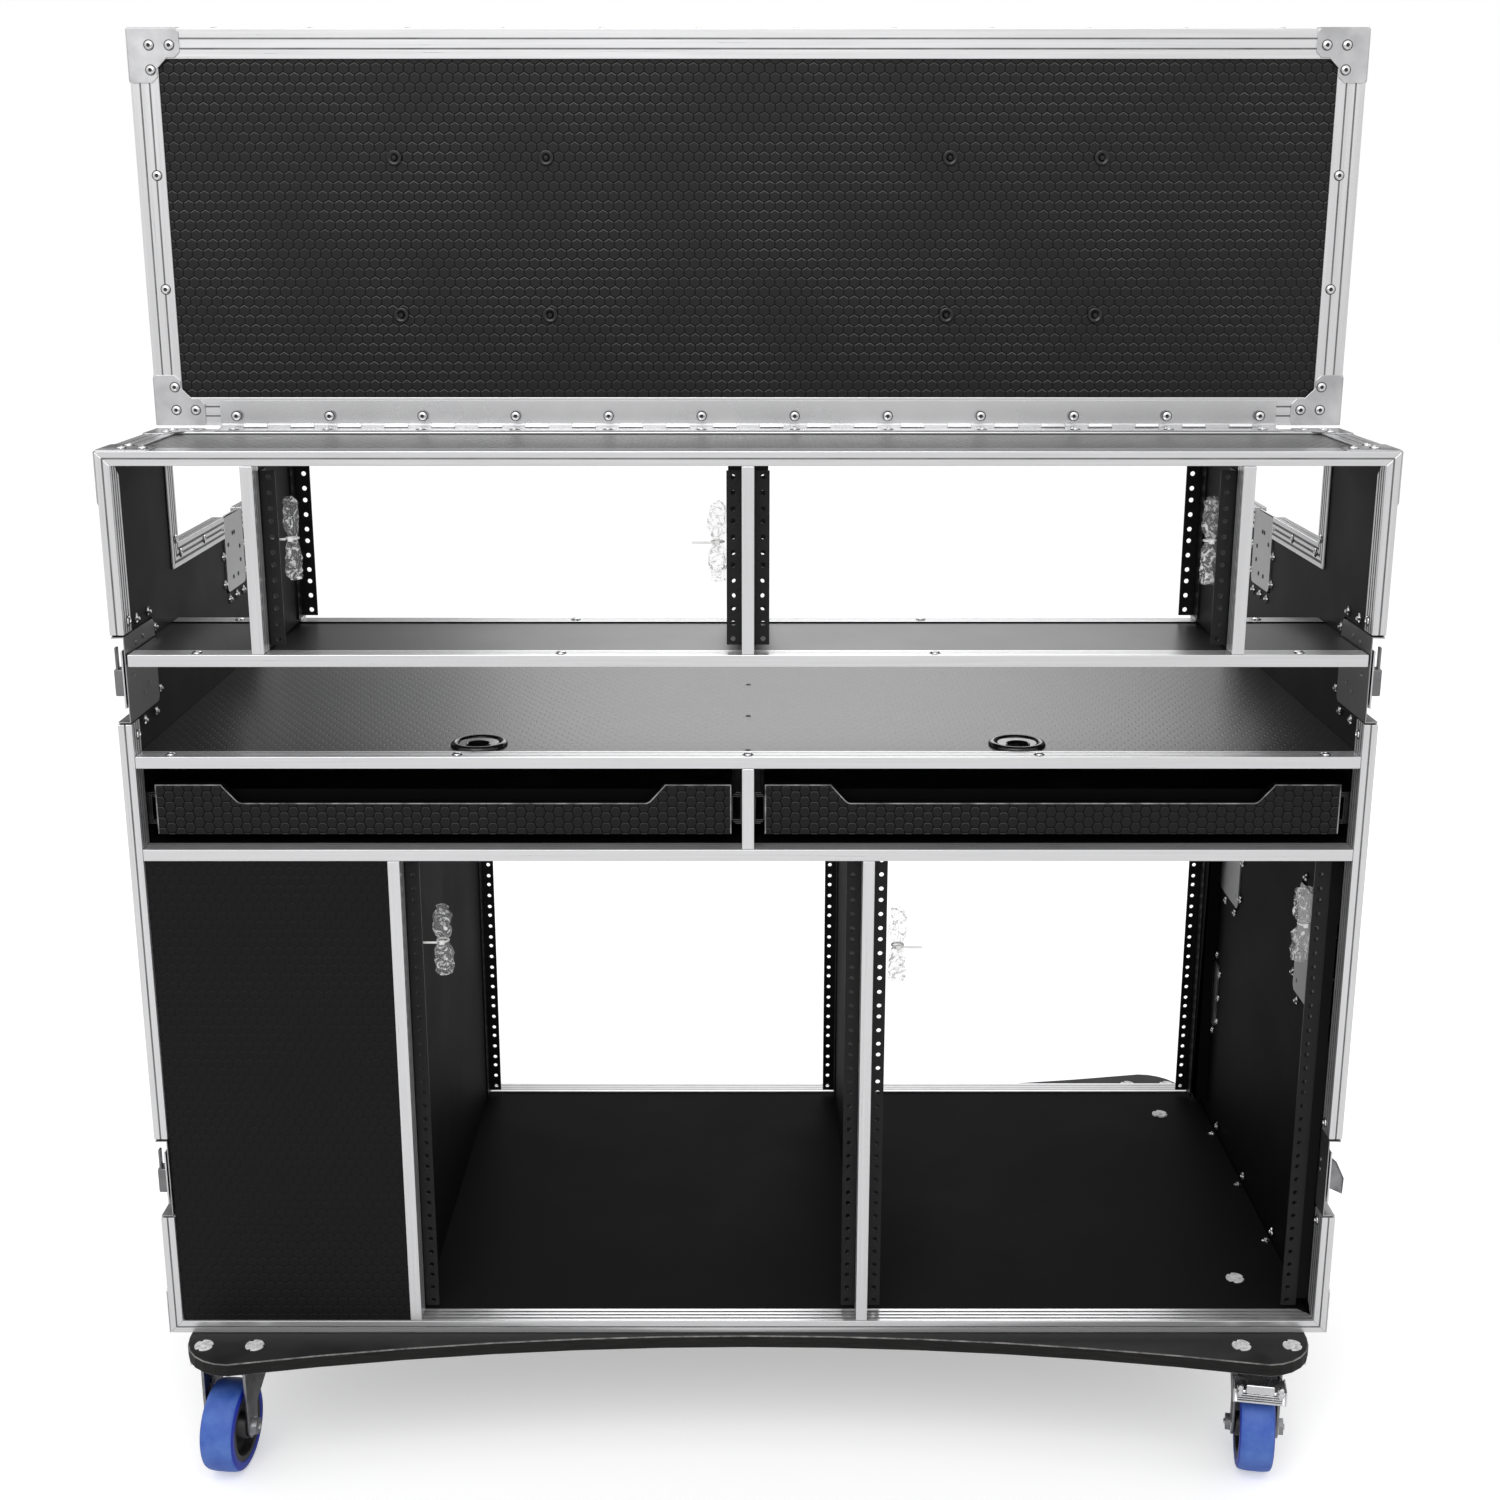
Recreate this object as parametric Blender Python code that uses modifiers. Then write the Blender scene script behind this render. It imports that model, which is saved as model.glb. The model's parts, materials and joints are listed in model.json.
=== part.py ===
"""Dual bay video production case on a caster board, with its lid standing open.

Millimetre sizes are written in metres. X runs to the right, Y to the back and Z up, and the origin is
on the floor below the middle of the case. The case front is the plane at minus half its depth.
"""

import math

import bmesh
import bpy
from mathutils import Matrix, Vector

# Outer sizes of the case
CASE_WIDTH = 1.288
CASE_DEPTH = 0.620
BODY_HEIGHT = 0.978
TOP_DEPTH = 0.212
LID_DEPTH = 0.124
LID_OPEN_ANGLE = 90.0

# Plywood, aluminium edging and the clearances between pieces
PANEL = 0.0095
GAP = 0.0003
EDGE_WALL = 0.0022
OUTER_LEG = 0.030
INNER_LEG = 0.026
CAP_WALL = 0.0015
CAP_LEG = 0.024
SEAT = EDGE_WALL + GAP
EDGE_FACE = PANEL + 2 * SEAT
CAP_FACE = PANEL + 2 * CAP_WALL

# Heights inside, each measured down from the top of the body
SHELF_DROP = 0.205
DESK_DROP = 0.312
DECK_DROP = 0.412
SHELF_DEPTH = 0.194

# Rack bays: one unit has three holes, and the two columns of a bay stand a fixed distance apart
RACK_UNIT = 0.04445
RACK_HOLE_OFFSETS = (0.00635, 0.022225, 0.0381)
RACK_COLUMN_SPAN = 0.4651
RACK_OPENING = 0.4861
RACK_HOLE_RADIUS = 0.0036
RACK_HOLE_SIDES = 4
UPPER_UNITS = 4
LOWER_UNITS = 12
UPPER_RAIL_DROP = 0.0224
LOWER_RAIL_DROP = 0.4266
RAIL_SETBACK = 0.028
UPPER_REAR_SETBACK = 0.012
RAIL_FLANGE = 0.017
RAIL_LEG = 0.026
RAIL_WALL = 0.002
SPACER_THICKNESS = 0.01515
SPACER_DEPTH = 0.052

# Recessed latch and handle dishes in the side walls
DISH_DEPTH = 0.014
DISH_WALL = 0.0015
DISH_FLANGE = 0.014
DISH_FLANGE_THICKNESS = 0.0012
LATCH_DISH_LENGTH = 0.102
UPPER_LATCH_DROPS = (0.185, 0.278)
LOWER_LATCH_DROPS = (0.742, 0.836)
LID_LATCH_GAP = 0.032
LID_LATCH_WIDTH = 0.084
LID_LATCH_HEIGHT = 0.094
LATCH_SETBACK = 0.044
WING_REACH = 0.026
WING_WAIST = 0.010
WING_THICKNESS = 0.003
WING_INSET = 0.002
WING_HUB_RADIUS = 0.009
WING_POINTS = 12
HANDLE_DROPS = (0.505, 0.640)
HANDLE_START = 0.050
HANDLE_WIDTH = 0.128
HANDLE_AXIS_DROP = 0.030
HANDLE_REACH = 0.072
HANDLE_ARM_INSET = 0.012
HANDLE_ELBOW = 0.005
HANDLE_BEND = 0.016
HANDLE_BEND_EASE = 0.3
HANDLE_GRIP_STEP = 0.002
HANDLE_ROD_RADIUS = 0.0042
HANDLE_GRIP_SCALE = 1.4
HANDLE_DEPTH = 0.0068

# Drawers and their ball-bearing slides
DRAWER_RECESS = 0.016
DRAWER_DEPTH = 0.450
DRAWER_TOP_DROP = 0.346
DRAWER_HEIGHT = 0.054
DRAWER_SIDE_HEIGHT = 0.046
DRAWER_WALL = 0.0095
DRAWER_FLOOR = 0.006
DRAWER_FRONT = 0.012
CUTOUT_TOP = 0.462
CUTOUT_BOTTOM = 0.426
CUTOUT_DEPTH = 0.020
CUTOUT_RADIUS = 0.008
SLIDE_THICKNESS = 0.0127
SLIDE_HEIGHT = 0.035
SLIDE_LENGTH = 0.430
SLIDE_START = 0.034
SLIDE_WALL = 0.0012
SLIDE_PLAY = 0.0008
DRAWER_DIVIDER_DEPTH = 0.500

# Desk cable grommets
GROMMET_X = 0.283
GROMMET_SETBACK = 0.055
GROMMET_RADIUS = 0.030
GROMMET_COLLAR = 0.026
GROMMET_FLANGE = 0.004
GROMMET_CAP_RADIUS = 0.0215
GROMMET_SLOT_RADIUS = 0.009
GROMMET_DROP = 0.019
GROMMET_SEGMENTS = 16

# Storage compartment front
STORAGE_FRONT_RECESS = 0.002

# Piano hinge
HINGE_LENGTH = 1.148
HINGE_KNUCKLES = 45
KNUCKLE_RADIUS = 0.003
KNUCKLE_SIDES = 6
LEAF_WIDTH = 0.027
LEAF_THICKNESS = 0.0012
HINGE_CLEARANCE = 0.0006

# Caster board
BOARD_UNDERSIDE = 0.135
BOARD_THICKNESS = 0.015
BOARD_WIDTH = 1.242
BOARD_SIDE_REACH = 0.063
BOARD_CENTRE_REACH = 0.006
BOARD_CORNER_RADIUS = 0.055

# Casters, set in from the board's ends and from the case front and back
SWIVEL_END_INSET = 0.049
SWIVEL_FACE_INSET = 0.016
WHEEL_RADIUS = 0.050
WHEEL_WIDTH = 0.038
CASTER_TRAIL = 0.040
PLATE_LENGTH = 0.104
PLATE_WIDTH = 0.084
PLATE_THICKNESS = 0.003
FORK_WALL = 0.003
FORK_SIDE_GAP = 0.0032
FORK_BOSS = 0.013
FORK_HEEL = (0.003, 0.022)
FORK_BACK = (0.008, 0.040)
FORK_SKIRT = 0.010
FORK_RACE_INSET = 0.004
RACE_RADIUS = 0.035
RACE_HEIGHT = 0.007
AXLE_RADIUS = 0.006
AXLE_NUT_RADIUS = 0.010
AXLE_NUT_THICKNESS = 0.006
TYRE_SECTION = 0.0115
TYRE_EDGE = 0.0005
TYRE_CROWN = ((0.004, 0.0), (0.001, 0.003), (0.0, 0.010))
CORE_HUB_RADIUS = 0.014
CORE_HUB_TAPER = 0.001
CORE_HALF_WEB = 0.006
CORE_RIM_THICKNESS = 0.006
CORE_RIM_INSET = 0.001
PEDAL_WIDTH = 0.056
PEDAL_ARM = ((0.006, 0.006), (-0.014, 0.008), (-0.034, 0.001), (-0.034, -0.003), (-0.012, 0.003), (0.006, -0.003))
PEDAL_TREAD = ((-0.021, 0.010), (-0.037, 0.003), (-0.044, -0.008), (-0.041, -0.009), (-0.034, 0.0), (-0.021, 0.006))
PEDAL_PIN_BACK = 0.006
PEDAL_PIN_RISE = 0.058
WHEEL_SEGMENTS = 16
PLAIN_CASTER_ANGLE = -7.0
BRAKED_CASTER_ANGLE = -10.0

# Places worked out from the sizes above
HALF_WIDTH = CASE_WIDTH / 2
FRONT = -CASE_DEPTH / 2
REAR = CASE_DEPTH / 2
HINGE_Y = FRONT + TOP_DEPTH
BODY_BOTTOM = BOARD_UNDERSIDE + BOARD_THICKNESS + GAP
BODY_TOP = BODY_BOTTOM + BODY_HEIGHT
STEP_TOP = BODY_TOP - LID_DEPTH
WALL_OUT = HALF_WIDTH - SEAT
WALL_IN = WALL_OUT - PANEL
EDGE_IN = HALF_WIDTH - EDGE_FACE
DISH_IN = HALF_WIDTH - DISH_DEPTH - DISH_WALL
SLIDE_SEAT = EDGE_IN - GAP
HINGE_Z = BODY_TOP + GAP + KNUCKLE_RADIUS
SHELF_TOP = BODY_TOP - SHELF_DROP
DESK_TOP = BODY_TOP - DESK_DROP
DECK_TOP = BODY_TOP - DECK_DROP
LOWER_BAY_PITCH = RACK_OPENING + PANEL
UPPER_DIVIDERS_X = (-LOWER_BAY_PITCH, 0.0, LOWER_BAY_PITCH)
SPACER_X = WALL_IN - SPACER_THICKNESS
LOWER_DIVIDER_X = SPACER_X - RACK_OPENING - PANEL / 2
LOWER_DIVIDERS_X = (LOWER_DIVIDER_X - LOWER_BAY_PITCH, LOWER_DIVIDER_X)
DRAWER_TOP = BODY_TOP - DRAWER_TOP_DROP
SLIDE_Z = DRAWER_TOP - DRAWER_HEIGHT + DRAWER_SIDE_HEIGHT / 2
SWIVEL_X = BOARD_WIDTH / 2 - SWIVEL_END_INSET
SWIVEL_Y = REAR - SWIVEL_FACE_INSET
PLATE_BOTTOM = BOARD_UNDERSIDE - PLATE_THICKNESS

# A little more than touching, so that joined shapes share volume and cutters pass right through
BITE = 0.0001
PASS = 0.002

for old in list(bpy.data.objects):
    bpy.data.objects.remove(old)

parts = bpy.data.collections.new("video_production_case")
bpy.context.scene.collection.children.link(parts)
cutters = bpy.data.collections.new("cutters")
cutters.hide_render = True
bpy.context.scene.collection.children.link(cutters)


def material(name, colour, roughness, metallic):
    made = bpy.data.materials.new(name)
    made.use_nodes = True
    shader = made.node_tree.nodes["Principled BSDF"]
    shader.inputs["Base Color"].default_value = (*colour, 1.0)
    shader.inputs["Roughness"].default_value = roughness
    shader.inputs["Metallic"].default_value = metallic
    made.diffuse_color = (*colour, 1.0)
    return made


LAMINATE = material("black_laminate", (0.018, 0.018, 0.019), 0.55, 0.0)
PLY_BLACK = material("black_painted_ply", (0.022, 0.022, 0.023), 0.50, 0.0)
ALUMINIUM = material("aluminium_edging", (0.80, 0.80, 0.81), 0.34, 1.0)
RAIL_BLACK = material("black_rack_rail", (0.020, 0.020, 0.021), 0.42, 0.3)
ZINC = material("zinc_plate", (0.70, 0.70, 0.71), 0.28, 1.0)
FORK_STEEL = material("fork_steel", (0.10, 0.10, 0.11), 0.35, 0.9)
TYRE_BLUE = material("blue_elastic_tyre", (0.02, 0.10, 0.62), 0.45, 0.0)
CORE_BLACK = material("black_nylon_core", (0.015, 0.015, 0.015), 0.40, 0.0)
GROMMET_BLACK = material("grommet_plastic", (0.012, 0.012, 0.012), 0.22, 0.0)
GRIP_BLACK = material("handle_grip", (0.02, 0.02, 0.02), 0.60, 0.0)
BOARD_BLACK = material("caster_board_paint", (0.035, 0.035, 0.037), 0.55, 0.0)


def box(x_ends, y_ends, z_ends):
    """Mesh data of one box between two ends on each axis, in either order."""
    middle = Vector([(ends[0] + ends[1]) / 2 for ends in (x_ends, y_ends, z_ends)])
    size = [abs(ends[1] - ends[0]) for ends in (x_ends, y_ends, z_ends)]
    shape = bmesh.new()
    bmesh.ops.create_cube(shape, size=1.0, matrix=Matrix.Translation(middle) @ Matrix.Diagonal((*size, 1.0)))
    return finished(shape)


def cylinder(centre, radius, ends, axis, sides):
    """Mesh data of a cylinder along X, Y or Z, round a centre given on the other two axes."""
    turn = {"X": Matrix.Rotation(math.pi / 2, 4, "Y"), "Y": Matrix.Rotation(math.pi / 2, 4, "X")}.get(
        axis, Matrix.Identity(4)
    )
    place = Vector(centre)
    place["XYZ".index(axis)] = (ends[0] + ends[1]) / 2
    shape = bmesh.new()
    bmesh.ops.create_cone(
        shape,
        cap_ends=True,
        segments=sides,
        radius1=radius,
        radius2=radius,
        depth=abs(ends[1] - ends[0]),
        matrix=Matrix.Translation(place) @ turn @ Matrix.Rotation(math.pi / sides, 4, "Z"),
    )
    return finished(shape)


def finished(shape):
    """Mesh data of a shape, on a micrometre grid so that faces meant to be flush are exactly flush."""
    for vertex in shape.verts:
        vertex.co = [round(value, 6) for value in vertex.co]
    bmesh.ops.recalc_face_normals(shape, faces=shape.faces)
    mesh = bpy.data.meshes.new("shape")
    shape.to_mesh(mesh)
    shape.free()
    return mesh


def evaluated_mesh(source):
    """The mesh an object shows with its modifiers, with the loose caps of a curve welded on."""
    bpy.context.view_layer.update()
    graph = bpy.context.evaluated_depsgraph_get()
    mesh = bpy.data.meshes.new_from_object(source.evaluated_get(graph))
    shape = bmesh.new()
    shape.from_mesh(mesh)
    bmesh.ops.remove_doubles(shape, verts=shape.verts, dist=1e-6)
    shape.to_mesh(mesh)
    shape.free()
    return mesh


def extrusion(outlines, axis, ends):
    """Mesh data of a flat outline, with holes after the first, given thickness along X, Y or Z."""
    curve = bpy.data.curves.new("outline", "CURVE")
    curve.dimensions = "2D"
    curve.fill_mode = "BOTH"
    curve.extrude = abs(ends[1] - ends[0]) / 2
    for points in outlines:
        spline = curve.splines.new("POLY")
        spline.points.add(len(points) - 1)
        for point, (along, across) in zip(spline.points, points):
            point.co = (along, across, 0.0, 1.0)
        spline.use_cyclic_u = True
    drawn = bpy.data.objects.new("outline", curve)
    cutters.objects.link(drawn)
    mesh = evaluated_mesh(drawn)
    bpy.data.objects.remove(drawn)
    middle = (ends[0] + ends[1]) / 2
    if axis == "X":
        frame = Matrix(((0, 0, 1, middle), (1, 0, 0, 0), (0, 1, 0, 0), (0, 0, 0, 1)))
    elif axis == "Y":
        frame = Matrix(((1, 0, 0, 0), (0, 0, -1, middle), (0, 1, 0, 0), (0, 0, 0, 1)))
    else:
        frame = Matrix.Translation((0, 0, middle))
    mesh.transform(frame)
    shape = bmesh.new()
    shape.from_mesh(mesh)
    bpy.data.meshes.remove(mesh)
    return finished(shape)


def many(meshes):
    """Several shapes that stand apart, as one piece of mesh data for a single cut or join."""
    shape = bmesh.new()
    for mesh in meshes:
        shape.from_mesh(mesh)
        bpy.data.meshes.remove(mesh)
    return finished(shape)


def combine(base, tools, operation, solver="EXACT"):
    """Joins tools to a base, or cuts them from it, one Boolean after another."""
    body = bpy.data.objects.new("body", base)
    helpers = [bpy.data.objects.new("helper", tool) for tool in tools]
    for made in (body, *helpers):
        made.display_type = "WIRE"
        made.hide_render = True
        cutters.objects.link(made)
    for helper in helpers:
        step = body.modifiers.new("step", "BOOLEAN")
        step.operation = operation
        step.solver = solver
        step.object = helper
    mesh = evaluated_mesh(body)
    for made in (body, *helpers):
        bpy.data.objects.remove(made)
    return mesh


def joined(first, *others):
    return combine(first, others, "UNION")


def joined_flush(first, *others):
    """Joins shapes that have faces in one plane, which the exact solver leaves open."""
    return combine(first, others, "UNION", "MANIFOLD")


def cut(base, *tools):
    return combine(base, tools, "DIFFERENCE")


def add(name, mesh, look, parent=None, place=(0.0, 0.0, 0.0), turn=(0.0, 0.0, 0.0), smooth=False):
    mesh.name = name
    mesh.materials.clear()
    mesh.materials.append(look)
    if smooth:
        mesh.shade_smooth()
        mesh.set_sharp_from_angle(angle=math.radians(35))
    made = bpy.data.objects.new(name, mesh)
    made.location = place
    made.rotation_euler = turn
    made.parent = parent
    parts.objects.link(made)
    return made


def pivot(name, place, turn=(0.0, 0.0, 0.0), parent=None):
    made = bpy.data.objects.new(name, None)
    made.location = place
    made.rotation_euler = turn
    made.parent = parent
    made.empty_display_size = 0.05
    parts.objects.link(made)
    return made


def rounded(points, radius, steps=3):
    """A closed outline with each corner replaced by an arc of this radius."""
    result = []
    for index, point in enumerate(points):
        corner = Vector(point)
        before = (Vector(points[index - 1]) - corner).normalized()
        after = (Vector(points[(index + 1) % len(points)]) - corner).normalized()
        half = before.angle(after) / 2
        reach = radius / math.tan(half)
        centre = corner + (before + after).normalized() * (radius / math.sin(half))
        start = corner + before * reach - centre
        sweep = start.angle_signed(corner + after * reach - centre)
        for step in range(steps + 1):
            angle = -sweep * step / steps
            arm = Matrix.Rotation(angle, 2) @ start
            result.append(tuple(centre + arm))
    return result


def strip(path, width):
    """Outline of a band of even width on the inner side of an open path with square corners.

    The path runs anticlockwise round the panel, so its inner side is on the left.
    """
    lines = [Vector(end) - Vector(start) for start, end in zip(path, path[1:])]
    normals = [Vector((-line.y, line.x)).normalized() for line in lines]
    inner = [Vector(path[0]) + normals[0] * width]
    for index in range(1, len(path) - 1):
        inner.append(Vector(path[index]) + (normals[index - 1] + normals[index]) * width)
    inner.append(Vector(path[-1]) + normals[-1] * width)
    return [tuple(point) for point in path] + [tuple(point) for point in reversed(inner)]


def side_channel(path, side, inner_path=None):
    """Edging that wraps the rim of a side wall: outer leg, face and inner leg along one path."""
    outer_face = side * HALF_WIDTH
    inner_face = side * EDGE_IN
    outer = extrusion([strip(path, OUTER_LEG)], "X", (outer_face, outer_face - side * EDGE_WALL))
    face = extrusion([strip(path, EDGE_WALL)], "X", (outer_face, inner_face))
    inner_route = inner_path or path
    inner = extrusion([strip(inner_route, INNER_LEG)], "X", (inner_face, inner_face + side * EDGE_WALL))
    return [outer, face, inner]


def cross_channel(x_ends, y_face, inward, z_face, upward):
    """Edging along X over the edge of a flat panel: the outer leg, the face and the inner leg."""
    return [
        box(x_ends, (y_face, y_face + inward * OUTER_LEG), (z_face, z_face + upward * EDGE_WALL)),
        box(x_ends, (y_face, y_face + inward * EDGE_WALL), (z_face, z_face + upward * EDGE_FACE)),
        box(
            x_ends,
            (y_face, y_face + inward * INNER_LEG),
            (z_face + upward * EDGE_FACE, z_face + upward * (EDGE_FACE - EDGE_WALL)),
        ),
    ]


def span_below_top(drops):
    """Bottom and top of a dish, from its two distances below the top of the body."""
    return BODY_TOP - drops[1], BODY_TOP - drops[0]


UPPER_LATCH = span_below_top(UPPER_LATCH_DROPS)
LOWER_LATCH = span_below_top(LOWER_LATCH_DROPS)
LID_LATCH = (STEP_TOP - LID_LATCH_HEIGHT, STEP_TOP)
LID_LATCH_END = REAR - LATCH_DISH_LENGTH - LID_LATCH_GAP
LID_LATCH_Y = (LID_LATCH_END - LID_LATCH_WIDTH, LID_LATCH_END)
HANDLE_SPAN = span_below_top(HANDLE_DROPS)


def mirrored_ends(ends, end):
    """The same reach measured from the front, or from the rear when end is 1."""
    return tuple(sorted(-end * (value - FRONT) + end * REAR for value in ends)) if end == 1 else ends


def dish_spans():
    """Outer Y and Z ends of every dish in a side wall, with the side on which it is open."""
    found = []
    for end in (-1, 1):
        latch_y = mirrored_ends((FRONT, FRONT + LATCH_DISH_LENGTH), end)
        handle_y = mirrored_ends((FRONT + HANDLE_START, FRONT + HANDLE_START + HANDLE_WIDTH), end)
        open_side = "front" if end == -1 else "rear"
        found.append((latch_y, UPPER_LATCH, open_side))
        found.append((latch_y, LOWER_LATCH, open_side))
        found.append((handle_y, HANDLE_SPAN, "none"))
    found.append((LID_LATCH_Y, LID_LATCH, "top"))
    return found


def side_wall_mesh(side):
    """Side panel with its dishes, the loose edging runs between dishes and the outer slide member."""
    rim = [
        (FRONT + SEAT, BODY_BOTTOM + SEAT),
        (REAR - SEAT, BODY_BOTTOM + SEAT),
        (REAR - SEAT, STEP_TOP - SEAT),
        (HINGE_Y - SEAT, STEP_TOP - SEAT),
        (HINGE_Y - SEAT, BODY_TOP - SEAT),
        (FRONT + SEAT, BODY_TOP - SEAT),
    ]
    wall = extrusion([rim], "X", (side * WALL_IN, side * WALL_OUT))
    solids = []
    pockets = []
    flange_face = WALL_OUT + DISH_FLANGE_THICKNESS
    for y_ends, z_ends, open_side in dish_spans():
        z_block = (z_ends[0] + GAP, z_ends[1] - (0 if open_side == "top" else GAP))
        y_flange = [y_ends[0] - DISH_FLANGE, y_ends[1] + DISH_FLANGE]
        z_flange = [z_ends[0] - DISH_FLANGE, z_ends[1] + DISH_FLANGE]
        y_pocket = [y_ends[0] + DISH_WALL, y_ends[1] - DISH_WALL]
        z_pocket = [z_block[0] + DISH_WALL, z_block[1] - DISH_WALL]
        if open_side == "front":
            y_flange[0] = FRONT + OUTER_LEG + GAP
            y_pocket[0] = FRONT - PASS
        if open_side == "rear":
            y_flange[1] = REAR - OUTER_LEG - GAP
            y_pocket[1] = REAR + PASS
        if open_side == "top":
            z_flange[1] = STEP_TOP - OUTER_LEG - GAP
            z_pocket[1] = STEP_TOP + PASS
        solids.append(box((side * DISH_IN, side * (WALL_OUT + BITE)), y_ends, z_block))
        solids.append(box((side * (WALL_OUT - BITE), side * flange_face), y_flange, z_flange))
        pockets.append(box((side * (HALF_WIDTH - DISH_DEPTH), side * (HALF_WIDTH + PASS)), y_pocket, z_pocket))
    runs = (
        [(FRONT, UPPER_LATCH[0]), (FRONT, LOWER_LATCH[1])],
        [(REAR, LOWER_LATCH[1]), (REAR, UPPER_LATCH[0])],
        [(REAR, UPPER_LATCH[1]), (REAR, STEP_TOP), (LID_LATCH_Y[1], STEP_TOP)],
    )
    for path in runs:
        solids.append(extrusion([strip(path, OUTER_LEG)], "X", (side * (WALL_OUT - BITE), side * HALF_WIDTH)))
        solids.append(extrusion([strip(path, SEAT + BITE)], "X", (side * EDGE_IN, side * HALF_WIDTH)))
        solids.append(extrusion([strip(path, INNER_LEG)], "X", (side * EDGE_IN, side * (WALL_IN + BITE))))
    solids.append(slide_member(side * SLIDE_SEAT, -side, 0, embed=WALL_IN - SLIDE_SEAT + BITE))
    return cut(joined(wall, *solids), many(pockets))


def slide_member(wall_x, toward, stage, embed=0.0):
    """Open channel of one nested slide stage; stage 0 is on the wall, 1 in the middle and 2 on the drawer.

    Each stage is a C section, one wall and one clearance smaller than the stage round it.
    """
    step = SLIDE_WALL + SLIDE_PLAY
    half = SLIDE_HEIGHT / 2 - stage * step
    near = (0.0, step, 2 * step)[stage]
    far = (SLIDE_THICKNESS - 2 * step, SLIDE_THICKNESS - step, SLIDE_THICKNESS)[stage]
    web = (far - SLIDE_WALL, far + embed) if stage == 2 else (near - embed, near + SLIDE_WALL)
    y_ends = (FRONT + SLIDE_START, FRONT + SLIDE_START + SLIDE_LENGTH)
    lips = [
        box(
            (wall_x + toward * near, wall_x + toward * far),
            y_ends,
            (SLIDE_Z + way * half, SLIDE_Z + way * (half - SLIDE_WALL)),
        )
        for way in (1, -1)
    ]
    back = box((wall_x + toward * web[0], wall_x + toward * web[1]), y_ends, (SLIDE_Z - half, SLIDE_Z + half))
    return joined(back, *lips)


def capped_board(outline, z_top, caps):
    """A flat board whose front or rear edges carry aluminium caps, as one piece."""
    slab = extrusion([outline], "Z", (z_top - CAP_WALL - PANEL, z_top - CAP_WALL))
    beads = [box(x_ends, y_ends, (z_top - CAP_FACE, z_top)) for x_ends, y_ends in caps]
    return joined_flush(slab, *beads)


def board_outline(y_ends, front_half, front_notch, rear_half, rear_notch):
    """Outline of a board between the side walls, notched where the edging or dishes stand proud."""
    inner = WALL_IN - GAP
    front, rear = y_ends
    right = [(front_half, front), (front_half, front + front_notch), (inner, front + front_notch)]
    if rear_notch:
        right += [(inner, rear - rear_notch), (rear_half, rear - rear_notch)]
    right += [(rear_half, rear)]
    left = [(-x, y) for x, y in reversed(right)]
    return right + left


def hole_comb(columns, top, units, y_flanges):
    """Cutters for every rack hole of some rail columns."""
    pegs = []
    for y_flange in y_flanges:
        for column in columns:
            for unit in range(units):
                for offset in RACK_HOLE_OFFSETS:
                    height = top - unit * RACK_UNIT - offset
                    ends = (y_flange - PASS, y_flange + RAIL_WALL + PASS)
                    pegs.append(cylinder((column, 0, height), RACK_HOLE_RADIUS, ends, "Y", RACK_HOLE_SIDES))
    return many(pegs)


def rail_solids(face_x, toward, z_ends, y_flange, inward):
    """One L rail on a face: the drilled flange across the bay and the leg along the face."""
    flange_y = (y_flange, y_flange + RAIL_WALL)
    leg_y = (y_flange, y_flange + RAIL_LEG) if inward == 1 else (y_flange + RAIL_WALL - RAIL_LEG, y_flange + RAIL_WALL)
    return [
        box((face_x - toward * BITE, face_x + toward * RAIL_FLANGE), flange_y, z_ends),
        box((face_x - toward * BITE, face_x + toward * RAIL_WALL), leg_y, z_ends),
    ]


def divider_mesh(x, z_ends, y_ends, cap_depth):
    """Upright divider panel with an aluminium cap on its front and rear edges."""
    slab = box((x - PANEL / 2, x + PANEL / 2), (y_ends[0] + BITE, y_ends[1] - BITE), z_ends)
    caps = [
        box((x - CAP_FACE / 2, x + CAP_FACE / 2), (edge, edge + way * cap_depth), z_ends)
        for edge, way in ((y_ends[0], 1), (y_ends[1], -1))
    ]
    return joined(slab, *caps)


def rack_divider(x, ways, z_ends, y_ends, rail_drop, units, y_front, y_rear, rear_inward):
    """Divider with rails on the sides named by ways, drilled in one cut."""
    rail_top = BODY_TOP - rail_drop
    rail_z = (rail_top - units * RACK_UNIT, rail_top)
    solids = []
    columns = []
    for way in ways:
        face = x + way * PANEL / 2
        solids += rail_solids(face, way, rail_z, y_front, 1)
        solids += rail_solids(face, way, rail_z, y_rear, rear_inward)
        columns.append(face + way * (RACK_OPENING - RACK_COLUMN_SPAN) / 2)
    body = joined(divider_mesh(x, z_ends, y_ends, CAP_LEG), *solids)
    return cut(body, hole_comb(columns, rail_top, units, (y_front, y_rear)))


# Side walls
for side, hand in ((-1, "left"), (1, "right")):
    add(f"side_panel_{hand}", side_wall_mesh(side), LAMINATE)

# Top panel and floor
panel_half = EDGE_IN - GAP
top_mesh = box((-panel_half, panel_half), (FRONT + SEAT, HINGE_Y - SEAT), (BODY_TOP - SEAT - PANEL, BODY_TOP - SEAT))
add("top_panel", top_mesh, LAMINATE)
base_z = (BODY_BOTTOM + SEAT, BODY_BOTTOM + SEAT + PANEL)
base_mesh = box((-panel_half, panel_half), (FRONT + SEAT, REAR - SEAT), base_z)
add("base_panel", base_mesh, PLY_BLACK)

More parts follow.
